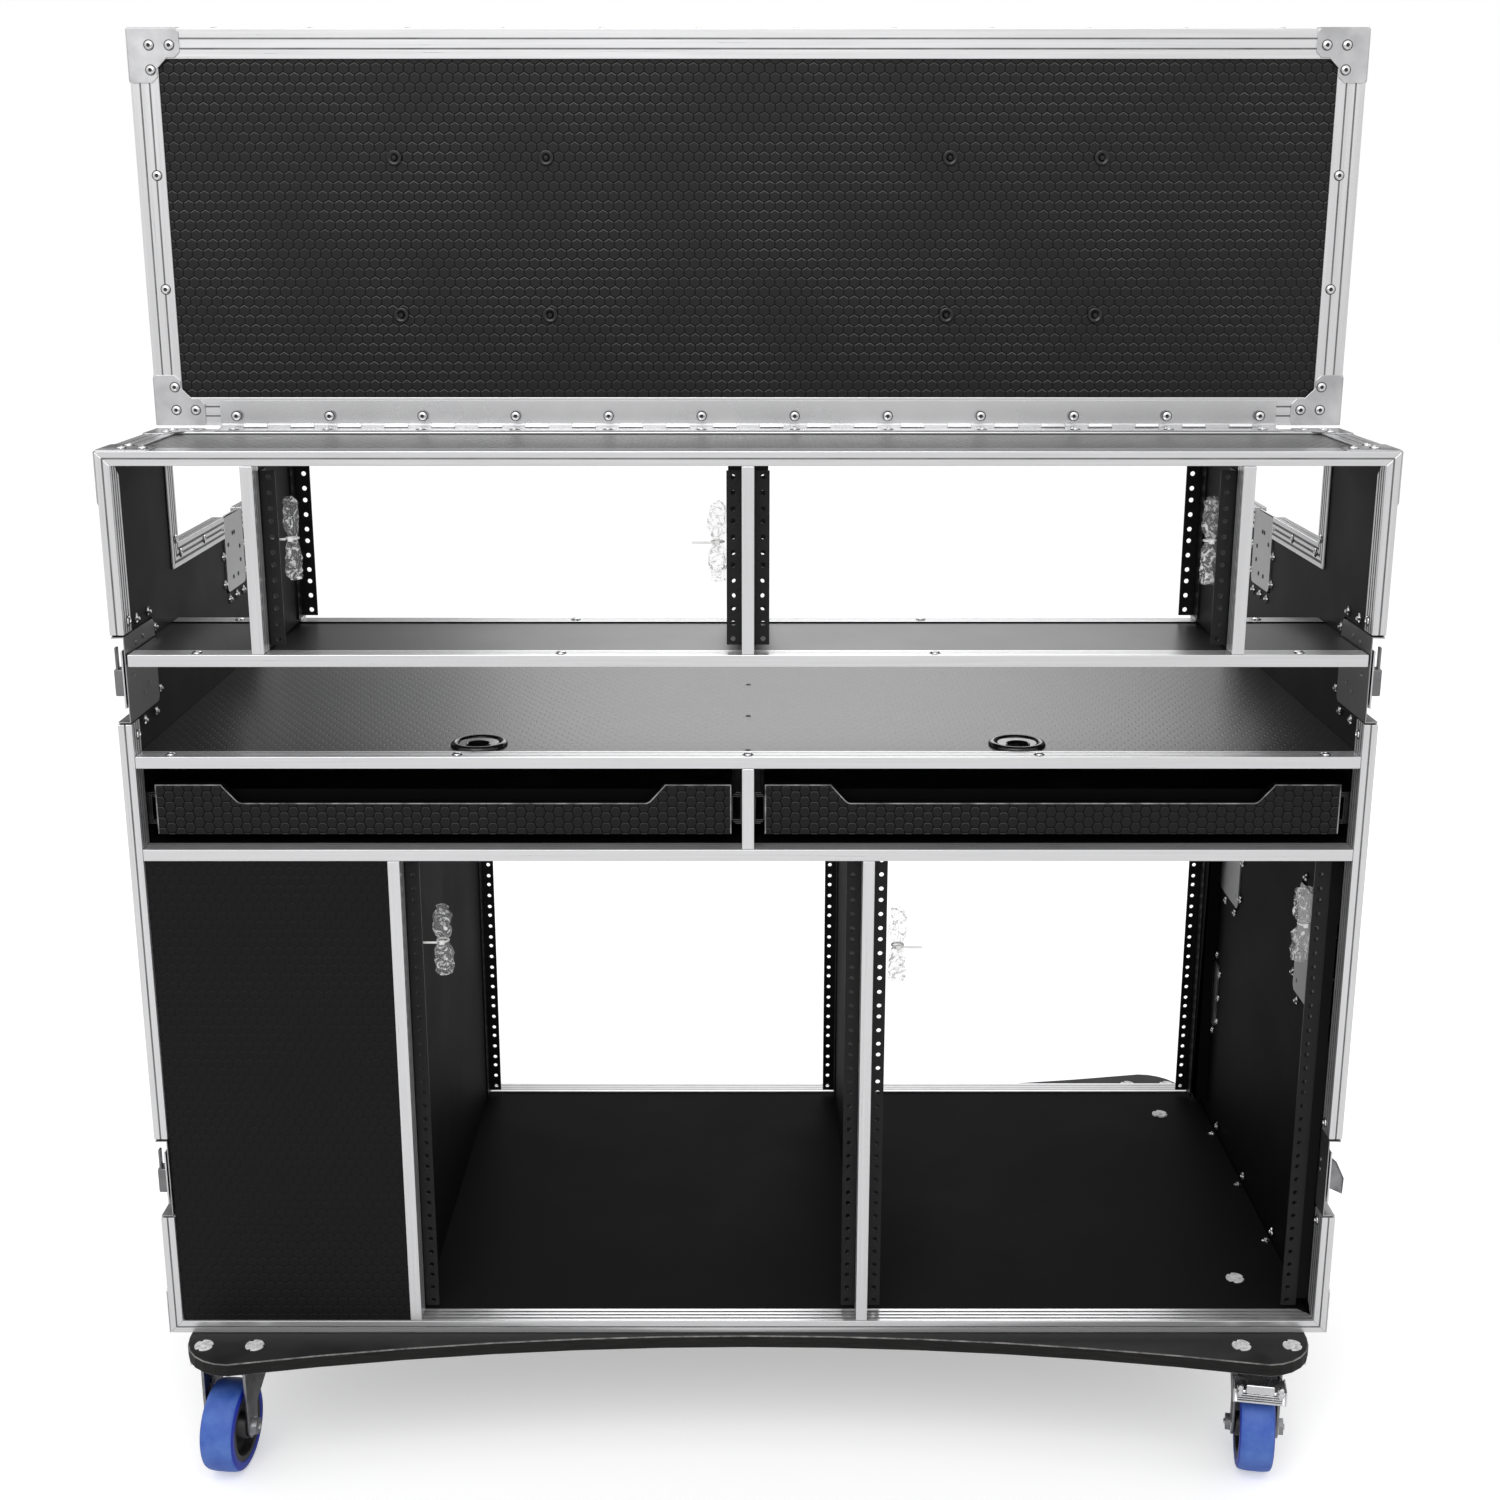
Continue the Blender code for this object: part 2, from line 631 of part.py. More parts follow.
# Rack shelf, desk and drawer deck
dish_half = DISH_IN - GAP
leg_half = EDGE_IN - GAP
shelf_outline = board_outline(
    (FRONT, FRONT + SHELF_DEPTH), dish_half, LATCH_DISH_LENGTH + GAP, WALL_IN - GAP, 0.0
)
shelf_caps = [
    ((-dish_half, dish_half), (FRONT, FRONT + CAP_LEG)),
    ((GAP - WALL_IN, WALL_IN - GAP), (FRONT + SHELF_DEPTH - CAP_LEG, FRONT + SHELF_DEPTH)),
]
add("rack_shelf", capped_board(shelf_outline, SHELF_TOP, shelf_caps), LAMINATE)

full_outline = board_outline((FRONT, REAR), leg_half, INNER_LEG + GAP, leg_half, INNER_LEG + GAP)
full_caps = [
    ((-leg_half, leg_half), (FRONT, FRONT + CAP_LEG)),
    ((-leg_half, leg_half), (REAR - CAP_LEG, REAR)),
]
grommet_places = [(way * GROMMET_X, FRONT + GROMMET_SETBACK) for way in (-1, 1)]
grommet_hole = (GROMMET_COLLAR + GAP) / math.cos(math.pi / GROMMET_SEGMENTS)
grommet_holes = [
    cylinder((x, y, 0), grommet_hole, (DESK_TOP - CAP_FACE - PASS, DESK_TOP + PASS), "Z", GROMMET_SEGMENTS)
    for x, y in grommet_places
]
desk_mesh = cut(capped_board(full_outline, DESK_TOP, full_caps), *grommet_holes)
add("desk_panel", desk_mesh, LAMINATE)
add("drawer_deck", capped_board(full_outline, DECK_TOP, full_caps), LAMINATE)

# Dividers of the two upper rack bays
upper_z = (SHELF_TOP + GAP, BODY_TOP - EDGE_FACE - GAP)
upper_y = (FRONT, FRONT + SHELF_DEPTH)
for x, name, ways in zip(UPPER_DIVIDERS_X, ("left", "centre", "right"), ((1,), (-1, 1), (-1,))):
    mesh = rack_divider(
        x,
        ways,
        upper_z,
        upper_y,
        UPPER_RAIL_DROP,
        UPPER_UNITS,
        FRONT + RAIL_SETBACK,
        FRONT + SHELF_DEPTH - UPPER_REAR_SETBACK,
        -1,
    )
    add(f"upper_divider_{name}", mesh, RAIL_BLACK)

# Dividers of the two lower rack bays, and the spacers that carry the last rails on the right wall
lower_z = (BODY_BOTTOM + EDGE_FACE + GAP, DECK_TOP - CAP_FACE - GAP)
lower_rail_y = (FRONT + RAIL_SETBACK, REAR - RAIL_SETBACK - RAIL_WALL)
for x, name, ways in zip(LOWER_DIVIDERS_X, ("left", "right"), ((1,), (-1, 1))):
    mesh = rack_divider(
        x, ways, lower_z, (FRONT, REAR), LOWER_RAIL_DROP, LOWER_UNITS, *lower_rail_y, -1
    )
    add(f"lower_divider_{name}", mesh, RAIL_BLACK)

lower_rail_top = BODY_TOP - LOWER_RAIL_DROP
lower_rail_z = (lower_rail_top - LOWER_UNITS * RACK_UNIT, lower_rail_top)
spacer_z = (BODY_BOTTOM + INNER_LEG + GAP, DECK_TOP - CAP_FACE - GAP)
for end, name in ((-1, "front"), (1, "rear")):
    y_flange = lower_rail_y[0] if end == -1 else lower_rail_y[1]
    y_block = mirrored_ends((FRONT + RAIL_SETBACK, FRONT + RAIL_SETBACK + SPACER_DEPTH), end)
    block = box((SPACER_X, WALL_IN - GAP), y_block, spacer_z)
    notch_y = (y_block[0] - PASS, y_block[1] + PASS)
    notches = [
        box((DISH_IN - GAP, WALL_IN), notch_y, (z_ends[0] - GAP, z_ends[1] + GAP))
        for z_ends in (HANDLE_SPAN, LOWER_LATCH)
    ]
    solids = rail_solids(SPACER_X, -1, lower_rail_z, y_flange, -end)
    column = SPACER_X - (RACK_OPENING - RACK_COLUMN_SPAN) / 2
    comb = hole_comb([column], lower_rail_top, LOWER_UNITS, [y_flange])
    add(f"wall_spacer_{name}", cut(joined(block, *solids), many(notches), comb), RAIL_BLACK)

# Storage compartment front
storage_x = (GAP - DISH_IN, LOWER_DIVIDERS_X[0] - CAP_FACE / 2 - GAP)
storage_y = (FRONT + STORAGE_FRONT_RECESS, FRONT + STORAGE_FRONT_RECESS + PANEL)
add("storage_front_panel", box(storage_x, storage_y, lower_z), LAMINATE)

# Drawer divider with the outer slide members of both drawers
divider_z = (DECK_TOP + GAP, DESK_TOP - CAP_FACE - GAP)
drawer_divider = divider_mesh(0.0, divider_z, (FRONT, FRONT + DRAWER_DIVIDER_DEPTH), CAP_LEG)
runners = [slide_member(way * PANEL / 2, way, 0, embed=BITE) for way in (-1, 1)]
add("drawer_divider", joined(drawer_divider, *runners), PLY_BLACK)


def drawer_mesh(way):
    """Open drawer with a shaped front and the inner slide members on its sides."""
    near = way * (PANEL / 2 + SLIDE_THICKNESS)
    far = way * (SLIDE_SEAT - SLIDE_THICKNESS)
    middle = (near + far) / 2
    y_front = FRONT + DRAWER_RECESS
    bottom = DRAWER_TOP - DRAWER_HEIGHT
    tray_y = (y_front + DRAWER_FRONT - BITE, y_front + DRAWER_DEPTH)
    tray = box((near, far), tray_y, (bottom, bottom + DRAWER_SIDE_HEIGHT))
    hollow = box(
        (near + way * DRAWER_WALL, far - way * DRAWER_WALL),
        (y_front + DRAWER_FRONT, tray_y[1] - DRAWER_WALL),
        (bottom + DRAWER_FLOOR, DRAWER_TOP + PASS),
    )
    notch = [
        (middle + CUTOUT_TOP / 2, DRAWER_TOP + CUTOUT_RADIUS * 2),
        (middle + CUTOUT_TOP / 2, DRAWER_TOP),
        (middle + CUTOUT_BOTTOM / 2, DRAWER_TOP - CUTOUT_DEPTH),
        (middle - CUTOUT_BOTTOM / 2, DRAWER_TOP - CUTOUT_DEPTH),
        (middle - CUTOUT_TOP / 2, DRAWER_TOP),
        (middle - CUTOUT_TOP / 2, DRAWER_TOP + CUTOUT_RADIUS * 2),
    ]
    front = box((near, far), (y_front, y_front + DRAWER_FRONT), (bottom, DRAWER_TOP))
    cutter = extrusion([rounded(notch, CUTOUT_RADIUS)], "Y", (y_front - PASS, y_front + DRAWER_FRONT + PASS))
    members = [
        slide_member(way * PANEL / 2, way, 2, embed=BITE),
        slide_member(way * SLIDE_SEAT, -way, 2, embed=BITE),
    ]
    return joined(cut(tray, hollow), cut(front, cutter), *members)


for way, hand in ((-1, "left"), (1, "right")):
    add(f"drawer_{hand}", drawer_mesh(way), LAMINATE)
    add(f"slide_{hand}_inner", slide_member(way * PANEL / 2, way, 1), ZINC)
    add(f"slide_{hand}_outer", slide_member(way * SLIDE_SEAT, -way, 1), ZINC)

# Edging of the body, above and below the latch dishes
upper_solids = []
lower_solids = []
full_x = (-HALF_WIDTH, HALF_WIDTH)
for side in (-1, 1):
    upper_path = [
        (LID_LATCH_Y[0], STEP_TOP),
        (HINGE_Y, STEP_TOP),
        (HINGE_Y, BODY_TOP),
        (FRONT, BODY_TOP),
        (FRONT, UPPER_LATCH[1]),
    ]
    lower_path = [
        (FRONT, LOWER_LATCH[0]),
        (FRONT, BODY_BOTTOM),
        (REAR, BODY_BOTTOM),
        (REAR, LOWER_LATCH[0]),
    ]
    angle_x = (side * HALF_WIDTH, side * (HALF_WIDTH - OUTER_LEG))
    upper_solids += side_channel(upper_path, side)
    upper_solids.append(box(angle_x, (FRONT, HINGE_Y), (BODY_TOP - EDGE_WALL, BODY_TOP)))
    lower_solids += side_channel(lower_path, side)
    lower_solids.append(box(angle_x, (FRONT, REAR), (BODY_BOTTOM, BODY_BOTTOM + EDGE_WALL)))
rail_x = (-EDGE_IN - EDGE_WALL, EDGE_IN + EDGE_WALL)
upper_solids += cross_channel(rail_x, FRONT, 1, BODY_TOP, -1)
upper_solids += cross_channel(rail_x, HINGE_Y, -1, BODY_TOP, -1)
lower_solids += cross_channel(rail_x, FRONT, 1, BODY_BOTTOM, 1)
lower_solids += cross_channel(rail_x, REAR, -1, BODY_BOTTOM, 1)
add("upper_edging", joined_flush(*upper_solids), ALUMINIUM)
add("lower_edging", joined_flush(*lower_solids), ALUMINIUM)


def hinge_leaf(way, first):
    """One leaf of the piano hinge and every second knuckle, round an axis on X at the origin."""
    pitch = HINGE_LENGTH / HINGE_KNUCKLES
    plate = box(
        (-HINGE_LENGTH / 2, HINGE_LENGTH / 2),
        (way * (KNUCKLE_RADIUS + GAP), way * LEAF_WIDTH),
        (-KNUCKLE_RADIUS, LEAF_THICKNESS - KNUCKLE_RADIUS),
    )
    ring = [
        (KNUCKLE_RADIUS * math.sin(turn), -KNUCKLE_RADIUS * math.cos(turn))
        for turn in (math.tau * step / KNUCKLE_SIDES for step in range(KNUCKLE_SIDES))
    ]
    knuckles = []
    tabs = []
    for index in range(first, HINGE_KNUCKLES, 2):
        start = -HINGE_LENGTH / 2 + index * pitch
        ends = (start + GAP / 2, start + pitch - GAP / 2)
        knuckles.append(extrusion([ring], "X", ends))
        tabs.append(
            box(ends, (0, way * (KNUCKLE_RADIUS + 2 * GAP)), (-KNUCKLE_RADIUS * 0.98, LEAF_THICKNESS - KNUCKLE_RADIUS))
        )
    return joined(plate, many(tabs), many(knuckles))


# Lid, made in its closed place round the hinge axis and turned open
lid = pivot("lid_hinge", (0.0, HINGE_Y, HINGE_Z), (math.radians(LID_OPEN_ANGLE), 0.0, 0.0))
lid_front = HINGE_CLEARANCE
lid_rear = REAR - HINGE_Y
lid_top = BODY_TOP - HINGE_Z
lid_bottom = lid_top - LID_DEPTH + GAP
lid_panel_z = (lid_top - SEAT - PANEL, lid_top - SEAT)
lid_panel = box((-panel_half, panel_half), (lid_front + SEAT, lid_rear - SEAT), lid_panel_z)
add("lid_panel", lid_panel, LAMINATE, parent=lid)

wall_z = (lid_bottom + SEAT, lid_top - SEAT)
rear_wall = box(
    (-WALL_IN - BITE, WALL_IN + BITE),
    (lid_rear - SEAT - PANEL, lid_rear - SEAT),
    (wall_z[0], lid_panel_z[0] - GAP),
)
side_walls = [box((way * WALL_IN, way * WALL_OUT), (lid_front + SEAT, lid_rear - SEAT), wall_z) for way in (-1, 1)]
add("lid_walls", joined(rear_wall, *side_walls), LAMINATE, parent=lid)

lid_solids = []
for side in (-1, 1):
    outer_path = [
        (lid_rear, lid_bottom),
        (lid_rear, lid_top),
        (lid_front, lid_top),
        (lid_front, lid_bottom),
    ]
    inner_end = lid_rear - EDGE_FACE + EDGE_WALL
    inner_path = [
        (inner_end, lid_top),
        (lid_front, lid_top),
        (lid_front, lid_bottom),
        (inner_end, lid_bottom),
    ]
    outer_x = (side * HALF_WIDTH, side * (HALF_WIDTH - EDGE_WALL))
    inner_x = (side * EDGE_IN, side * (EDGE_IN + EDGE_WALL))
    angle_x = (side * HALF_WIDTH, side * (HALF_WIDTH - OUTER_LEG))
    plate = [outer_path, [
        (lid_rear - OUTER_LEG, lid_bottom + OUTER_LEG),
        (lid_rear - OUTER_LEG, lid_top - OUTER_LEG),
        (lid_front + OUTER_LEG, lid_top - OUTER_LEG),
        (lid_front + OUTER_LEG, lid_bottom + OUTER_LEG),
    ]]
    lid_solids.append(extrusion(plate, "X", outer_x))
    lid_solids.append(extrusion([strip(inner_path, INNER_LEG)], "X", inner_x))
    face_x = (side * EDGE_IN, side * HALF_WIDTH)
    lid_solids.append(box(face_x, (lid_front, lid_rear), (lid_top - EDGE_WALL, lid_top)))
    lid_solids.append(box(face_x, (lid_front, lid_rear), (lid_bottom, lid_bottom + EDGE_WALL)))
    lid_solids.append(box(face_x, (lid_front, lid_front + EDGE_WALL), (lid_bottom, lid_top)))
    lid_solids.append(box(angle_x, (lid_front, lid_rear), (lid_top - EDGE_WALL, lid_top)))
    lid_solids.append(box(angle_x, (lid_rear - EDGE_WALL, lid_rear), (lid_bottom, lid_top)))
lid_solids += cross_channel(rail_x, lid_front, 1, lid_top, -1)
lid_solids.append(box(full_x, (lid_rear - OUTER_LEG, lid_rear), (lid_top - EDGE_WALL, lid_top)))
lid_solids.append(box(full_x, (lid_rear - EDGE_WALL, lid_rear), (lid_top - OUTER_LEG, lid_top)))
lid_solids.append(box(full_x, (lid_rear - EDGE_WALL, lid_rear), (lid_bottom, lid_bottom + OUTER_LEG)))
lid_solids.append(box(full_x, (lid_rear - EDGE_FACE, lid_rear), (lid_bottom, lid_bottom + EDGE_WALL)))
lid_solids.append(
    box(rail_x, (lid_rear - EDGE_FACE, lid_rear - EDGE_FACE + EDGE_WALL), (lid_bottom, lid_bottom + INNER_LEG))
)
add("lid_edging", joined_flush(*lid_solids), ALUMINIUM, parent=lid)
add("hinge_upper_leaf", hinge_leaf(1, 1), ZINC, parent=lid)
add("hinge_lower_leaf", hinge_leaf(-1, 0), ZINC, place=(0.0, HINGE_Y, HINGE_Z))


def turned(name, profile, sides):
    """Mesh data of a closed profile turned round Z; the profile runs down its outer side."""
    mesh = bpy.data.meshes.new(name)
    count = len(profile)
    mesh.from_pydata([(r, 0.0, z) for r, z in profile], [(i, (i + 1) % count) for i in range(count)], [])
    spun = bpy.data.objects.new(name, mesh)
    cutters.objects.link(spun)
    screw = spun.modifiers.new("turn", "SCREW")
    screw.axis = "Z"
    screw.angle = math.tau
    screw.steps = sides
    screw.render_steps = sides
    screw.use_merge_vertices = True
    screw.merge_threshold = 0.00001
    made = evaluated_mesh(spun)
    bpy.data.objects.remove(spun)
    shape = bmesh.new()
    shape.from_mesh(made)
    bpy.data.meshes.remove(made)
    return finished(shape)


# Cable grommets: a rounded rim, a collar through the desk and a cap with a cable slot
rim_half = GROMMET_FLANGE / 2
grommet_profile = [
    (GROMMET_CAP_RADIUS - BITE, GROMMET_FLANGE * 0.8),
    (GROMMET_COLLAR, GROMMET_FLANGE),
    (GROMMET_RADIUS - rim_half, GROMMET_FLANGE * 0.9),
    (GROMMET_RADIUS, rim_half),
    (GROMMET_RADIUS, 0.0),
    (GROMMET_COLLAR, 0.0),
    (GROMMET_COLLAR, -GROMMET_DROP),
    (GROMMET_CAP_RADIUS, -GROMMET_DROP),
]
for hand, (x, y) in zip(("left", "right"), grommet_places):
    ring = turned("grommet", grommet_profile, GROMMET_SEGMENTS)
    cap = cylinder((0, 0, 0), GROMMET_CAP_RADIUS + BITE, (0.0, GROMMET_FLANGE * 0.6), "Z", GROMMET_SEGMENTS)
    slot = cylinder(
        (0, -GROMMET_CAP_RADIUS / 2, 0), GROMMET_SLOT_RADIUS, (-PASS, GROMMET_FLANGE + PASS), "Z", 8
    )
    mesh = joined(ring, cut(cap, slot))
    add(f"grommet_{hand}", mesh, GROMMET_BLACK, place=(x, y, DESK_TOP - CAP_WALL + GAP), smooth=True)


def caster_board_outline():
    """Board outline: long sides hollowed in a parabola, short sides straight, corners rounded."""
    half = BOARD_WIDTH / 2
    run = half - BOARD_CORNER_RADIUS
    steps = 12
    radius = BOARD_CORNER_RADIUS
    reach = REAR + BOARD_SIDE_REACH
    waist = REAR + BOARD_CENTRE_REACH
    rear = []
    for step in range(steps + 1):
        x = run - 2 * run * step / steps
        rear.append((x, waist + (reach - waist) * (x / run) ** 2))
    corner = [
        (run + radius * math.sin(math.radians(angle)), reach - radius + radius * math.cos(math.radians(angle)))
        for angle in (75, 60, 45, 30, 15)
    ]
    right = [(half, 0.0), (half, reach - radius)] + corner
    left = [(-x, y) for x, y in reversed(right)]
    upper = right + rear + left
    return upper + [(-x, -y) for x, y in upper if y > 0]


board_z = (BOARD_UNDERSIDE, BOARD_UNDERSIDE + BOARD_THICKNESS)
board = extrusion([caster_board_outline()], "Z", board_z)
plates = [
    box(
        (x * SWIVEL_X - PLATE_WIDTH / 2, x * SWIVEL_X + PLATE_WIDTH / 2),
        (y * SWIVEL_Y - PLATE_LENGTH / 2, y * SWIVEL_Y + PLATE_LENGTH / 2),
        (PLATE_BOTTOM, BOARD_UNDERSIDE + BITE),
    )
    for x in (-1, 1)
    for y in (-1, 1)
]
add("caster_board", joined(board, many(plates)), BOARD_BLACK)


def fork_mesh():
    """Swivel fork round the swivel axis at floor height, with the wheel trailing towards the front."""
    inner = WHEEL_WIDTH / 2 + FORK_SIDE_GAP
    outer = inner + FORK_WALL
    crown_top = PLATE_BOTTOM - GAP - RACE_HEIGHT
    crown_bottom = crown_top - FORK_WALL
    front_edge = -CASTER_TRAIL - FORK_BOSS
    rear_edge = RACE_RADIUS - FORK_RACE_INSET
    arc = [
        (-CASTER_TRAIL - FORK_BOSS * math.cos(turn), WHEEL_RADIUS - FORK_BOSS * math.sin(turn))
        for turn in (math.pi * step / 6 for step in range(7))
    ]
    cheek = [(front_edge, crown_top)] + arc + [
        (-CASTER_TRAIL + FORK_BOSS + FORK_HEEL[0], WHEEL_RADIUS + FORK_HEEL[1]),
        (FORK_BACK[0], WHEEL_RADIUS + FORK_BACK[1]),
        (rear_edge, crown_bottom - FORK_SKIRT),
        (rear_edge, crown_top),
    ]
    cheeks = [extrusion([cheek], "X", (way * inner, way * outer)) for way in (-1, 1)]
    crown = box((-outer, outer), (front_edge, rear_edge), (crown_bottom, crown_top))
    race = cylinder((0, 0, 0), RACE_RADIUS, (crown_top - BITE, PLATE_BOTTOM - GAP), "Z", 12)
    axle_at = (0, -CASTER_TRAIL, WHEEL_RADIUS)
    axle = cylinder(axle_at, AXLE_RADIUS, (-outer, outer), "X", 8)
    nuts = [
        cylinder(axle_at, AXLE_NUT_RADIUS, (way * (outer - BITE), way * (outer + AXLE_NUT_THICKNESS)), "X", 6)
        for way in (-1, 1)
    ]
    return joined(crown, *cheeks, race, axle, *nuts)


def core_mesh():
    hub = WHEEL_WIDTH / 2 + FORK_SIDE_GAP - 3 * GAP
    rim = WHEEL_WIDTH / 2 - CORE_RIM_INSET
    web = CORE_HALF_WEB
    bore = AXLE_RADIUS + GAP
    foot = CORE_HUB_RADIUS + CORE_HUB_TAPER
    rim_out = WHEEL_RADIUS - TYRE_SECTION
    rim_in = rim_out - CORE_RIM_THICKNESS
    half = [(bore, hub), (CORE_HUB_RADIUS, hub), (foot, web), (rim_in, web), (rim_in, rim), (rim_out, rim)]
    return turned("core", half + [(r, -z) for r, z in reversed(half)], WHEEL_SEGMENTS)


def tyre_mesh():
    bore = WHEEL_RADIUS - TYRE_SECTION + GAP
    half = [(bore, WHEEL_WIDTH / 2 - TYRE_EDGE)]
    half += [(WHEEL_RADIUS - drop, WHEEL_WIDTH / 2 - inset) for drop, inset in TYRE_CROWN]
    return turned("tyre", half + [(r, -z) for r, z in reversed(half)], WHEEL_SEGMENTS)


def pedal_mesh():
    """Foot brake round its pin at the origin: an arm between the cheeks and a wide tread plate."""
    arm_half = WHEEL_WIDTH / 2 + FORK_SIDE_GAP - 2 * GAP
    arm_solid = extrusion([PEDAL_ARM], "X", (-arm_half, arm_half))
    tread_solid = extrusion([PEDAL_TREAD], "X", (-PEDAL_WIDTH / 2, PEDAL_WIDTH / 2))
    return joined(arm_solid, tread_solid)


PEDAL_PIN = (0.0, -CASTER_TRAIL + PEDAL_PIN_BACK, WHEEL_RADIUS + PEDAL_PIN_RISE)
casters = (
    ("front_left", -1, -1, PLAIN_CASTER_ANGLE, False),
    ("front_right", 1, -1, BRAKED_CASTER_ANGLE, True),
    ("rear_right", 1, 1, 180.0 + PLAIN_CASTER_ANGLE, False),
    ("rear_left", -1, 1, 180.0 + BRAKED_CASTER_ANGLE, True),
)
for name, x, y, angle, braked in casters:
    swivel = pivot(f"swivel_{name}", (x * SWIVEL_X, y * SWIVEL_Y, 0.0), (0.0, 0.0, math.radians(angle)))
    axle_place = (0.0, -CASTER_TRAIL, WHEEL_RADIUS)
    on_axle = (0.0, math.pi / 2, 0.0)
    add(f"fork_{name}", fork_mesh(), FORK_STEEL, parent=swivel)
    add(f"wheel_core_{name}", core_mesh(), CORE_BLACK, swivel, axle_place, on_axle, smooth=True)
    add(f"tyre_{name}", tyre_mesh(), TYRE_BLUE, swivel, axle_place, on_axle, smooth=True)
    if braked:
        add(f"brake_pedal_{name}", pedal_mesh(), ZINC, swivel, PEDAL_PIN)


def handle_mesh():
    """Bail with a thicker grip, hanging from its hinge axis along Y at the origin."""
    half = HANDLE_WIDTH / 2 - DISH_WALL - GAP
    arm = half - HANDLE_ARM_INSET
    bend = HANDLE_BEND
    ease = HANDLE_BEND_EASE * bend
    reach = HANDLE_REACH
    side = [
        (half, 0.0, 1.0),
        (arm + HANDLE_ELBOW, 0.0, 1.0),
        (arm, -HANDLE_ELBOW, 1.0),
        (arm, bend - reach, 1.0),
        (arm - ease, ease - reach, 1.0),
        (arm - bend, -reach, 1.0),
        (arm - bend - HANDLE_GRIP_STEP, -reach, HANDLE_GRIP_SCALE),
    ]
    route = side + [(-along, down, scale) for along, down, scale in reversed(side)]
    curve = bpy.data.curves.new("bail", "CURVE")
    curve.dimensions = "3D"
    curve.bevel_depth = HANDLE_ROD_RADIUS
    curve.bevel_resolution = 1
    curve.use_fill_caps = True
    spline = curve.splines.new("POLY")
    spline.points.add(len(route) - 1)
    for point, (along, down, scale) in zip(spline.points, route):
        point.co = (0.0, along, down, 1.0)
        point.radius = scale
    drawn = bpy.data.objects.new("bail", curve)
    cutters.objects.link(drawn)
    mesh = evaluated_mesh(drawn)
    bpy.data.objects.remove(drawn)
    return mesh


def wing_mesh(side):
    """Butterfly latch wing on its hub, turning round X at the origin."""
    outline = []
    for step in range(WING_POINTS):
        turn = math.tau * step / WING_POINTS
        reach = WING_WAIST + (WING_REACH - WING_WAIST) * math.cos(turn) ** 2
        outline.append((reach * math.sin(turn), reach * math.cos(turn)))
    back = HALF_WIDTH - DISH_DEPTH + GAP
    face = HALF_WIDTH - WING_INSET
    wing = extrusion([outline], "X", (side * (face - WING_THICKNESS), side * face))
    hub = cylinder((0, 0, 0), WING_HUB_RADIUS, (side * back, side * (face - WING_THICKNESS + BITE)), "X", 8)
    mesh = joined(wing, hub)
    mesh.transform(Matrix.Translation((-side * HALF_WIDTH, 0, 0)))
    return mesh


lid_latch_centre = ((LID_LATCH_Y[0] + LID_LATCH_Y[1]) / 2, (LID_LATCH[0] + LID_LATCH[1]) / 2)
for side, hand in ((-1, "left"), (1, "right")):
    for end, place in ((-1, "front"), (1, "rear")):
        latch_y = end * (REAR - LATCH_SETBACK)
        for level, span in (("upper", UPPER_LATCH), ("lower", LOWER_LATCH)):
            centre = (side * HALF_WIDTH, latch_y, (span[0] + span[1]) / 2)
            add(f"latch_{place}_{hand}_{level}", wing_mesh(side), ZINC, place=centre)
        handle_y = end * (REAR - HANDLE_START - HANDLE_WIDTH / 2)
        handle_at = (side * (HALF_WIDTH - HANDLE_DEPTH), handle_y, HANDLE_SPAN[1] - HANDLE_AXIS_DROP)
        add(f"handle_{place}_{hand}", handle_mesh(), GRIP_BLACK, place=handle_at, smooth=True)
    centre = (side * HALF_WIDTH, *lid_latch_centre)
    add(f"latch_lid_{hand}", wing_mesh(side), ZINC, place=centre)
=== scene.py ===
import json
import math

import bmesh
import bpy
from mathutils import Matrix, Vector, noise

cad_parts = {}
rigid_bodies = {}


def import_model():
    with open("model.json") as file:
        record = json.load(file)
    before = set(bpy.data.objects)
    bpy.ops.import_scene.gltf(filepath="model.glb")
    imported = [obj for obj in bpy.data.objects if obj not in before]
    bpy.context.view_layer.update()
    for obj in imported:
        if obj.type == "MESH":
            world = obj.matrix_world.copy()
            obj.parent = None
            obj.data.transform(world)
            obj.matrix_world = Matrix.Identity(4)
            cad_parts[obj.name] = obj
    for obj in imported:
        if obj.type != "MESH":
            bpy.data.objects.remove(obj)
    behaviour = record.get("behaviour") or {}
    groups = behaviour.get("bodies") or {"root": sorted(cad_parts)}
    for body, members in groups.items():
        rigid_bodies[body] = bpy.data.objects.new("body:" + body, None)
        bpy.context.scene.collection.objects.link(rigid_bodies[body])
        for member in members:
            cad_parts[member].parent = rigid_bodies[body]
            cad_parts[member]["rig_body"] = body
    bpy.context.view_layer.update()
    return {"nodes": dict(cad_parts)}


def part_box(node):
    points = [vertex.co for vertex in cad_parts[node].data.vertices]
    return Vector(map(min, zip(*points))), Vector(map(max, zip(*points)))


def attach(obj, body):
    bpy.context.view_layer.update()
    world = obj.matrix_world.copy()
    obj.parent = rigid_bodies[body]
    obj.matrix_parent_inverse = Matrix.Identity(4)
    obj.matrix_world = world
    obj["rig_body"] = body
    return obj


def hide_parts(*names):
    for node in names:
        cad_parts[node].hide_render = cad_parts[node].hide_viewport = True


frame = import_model()

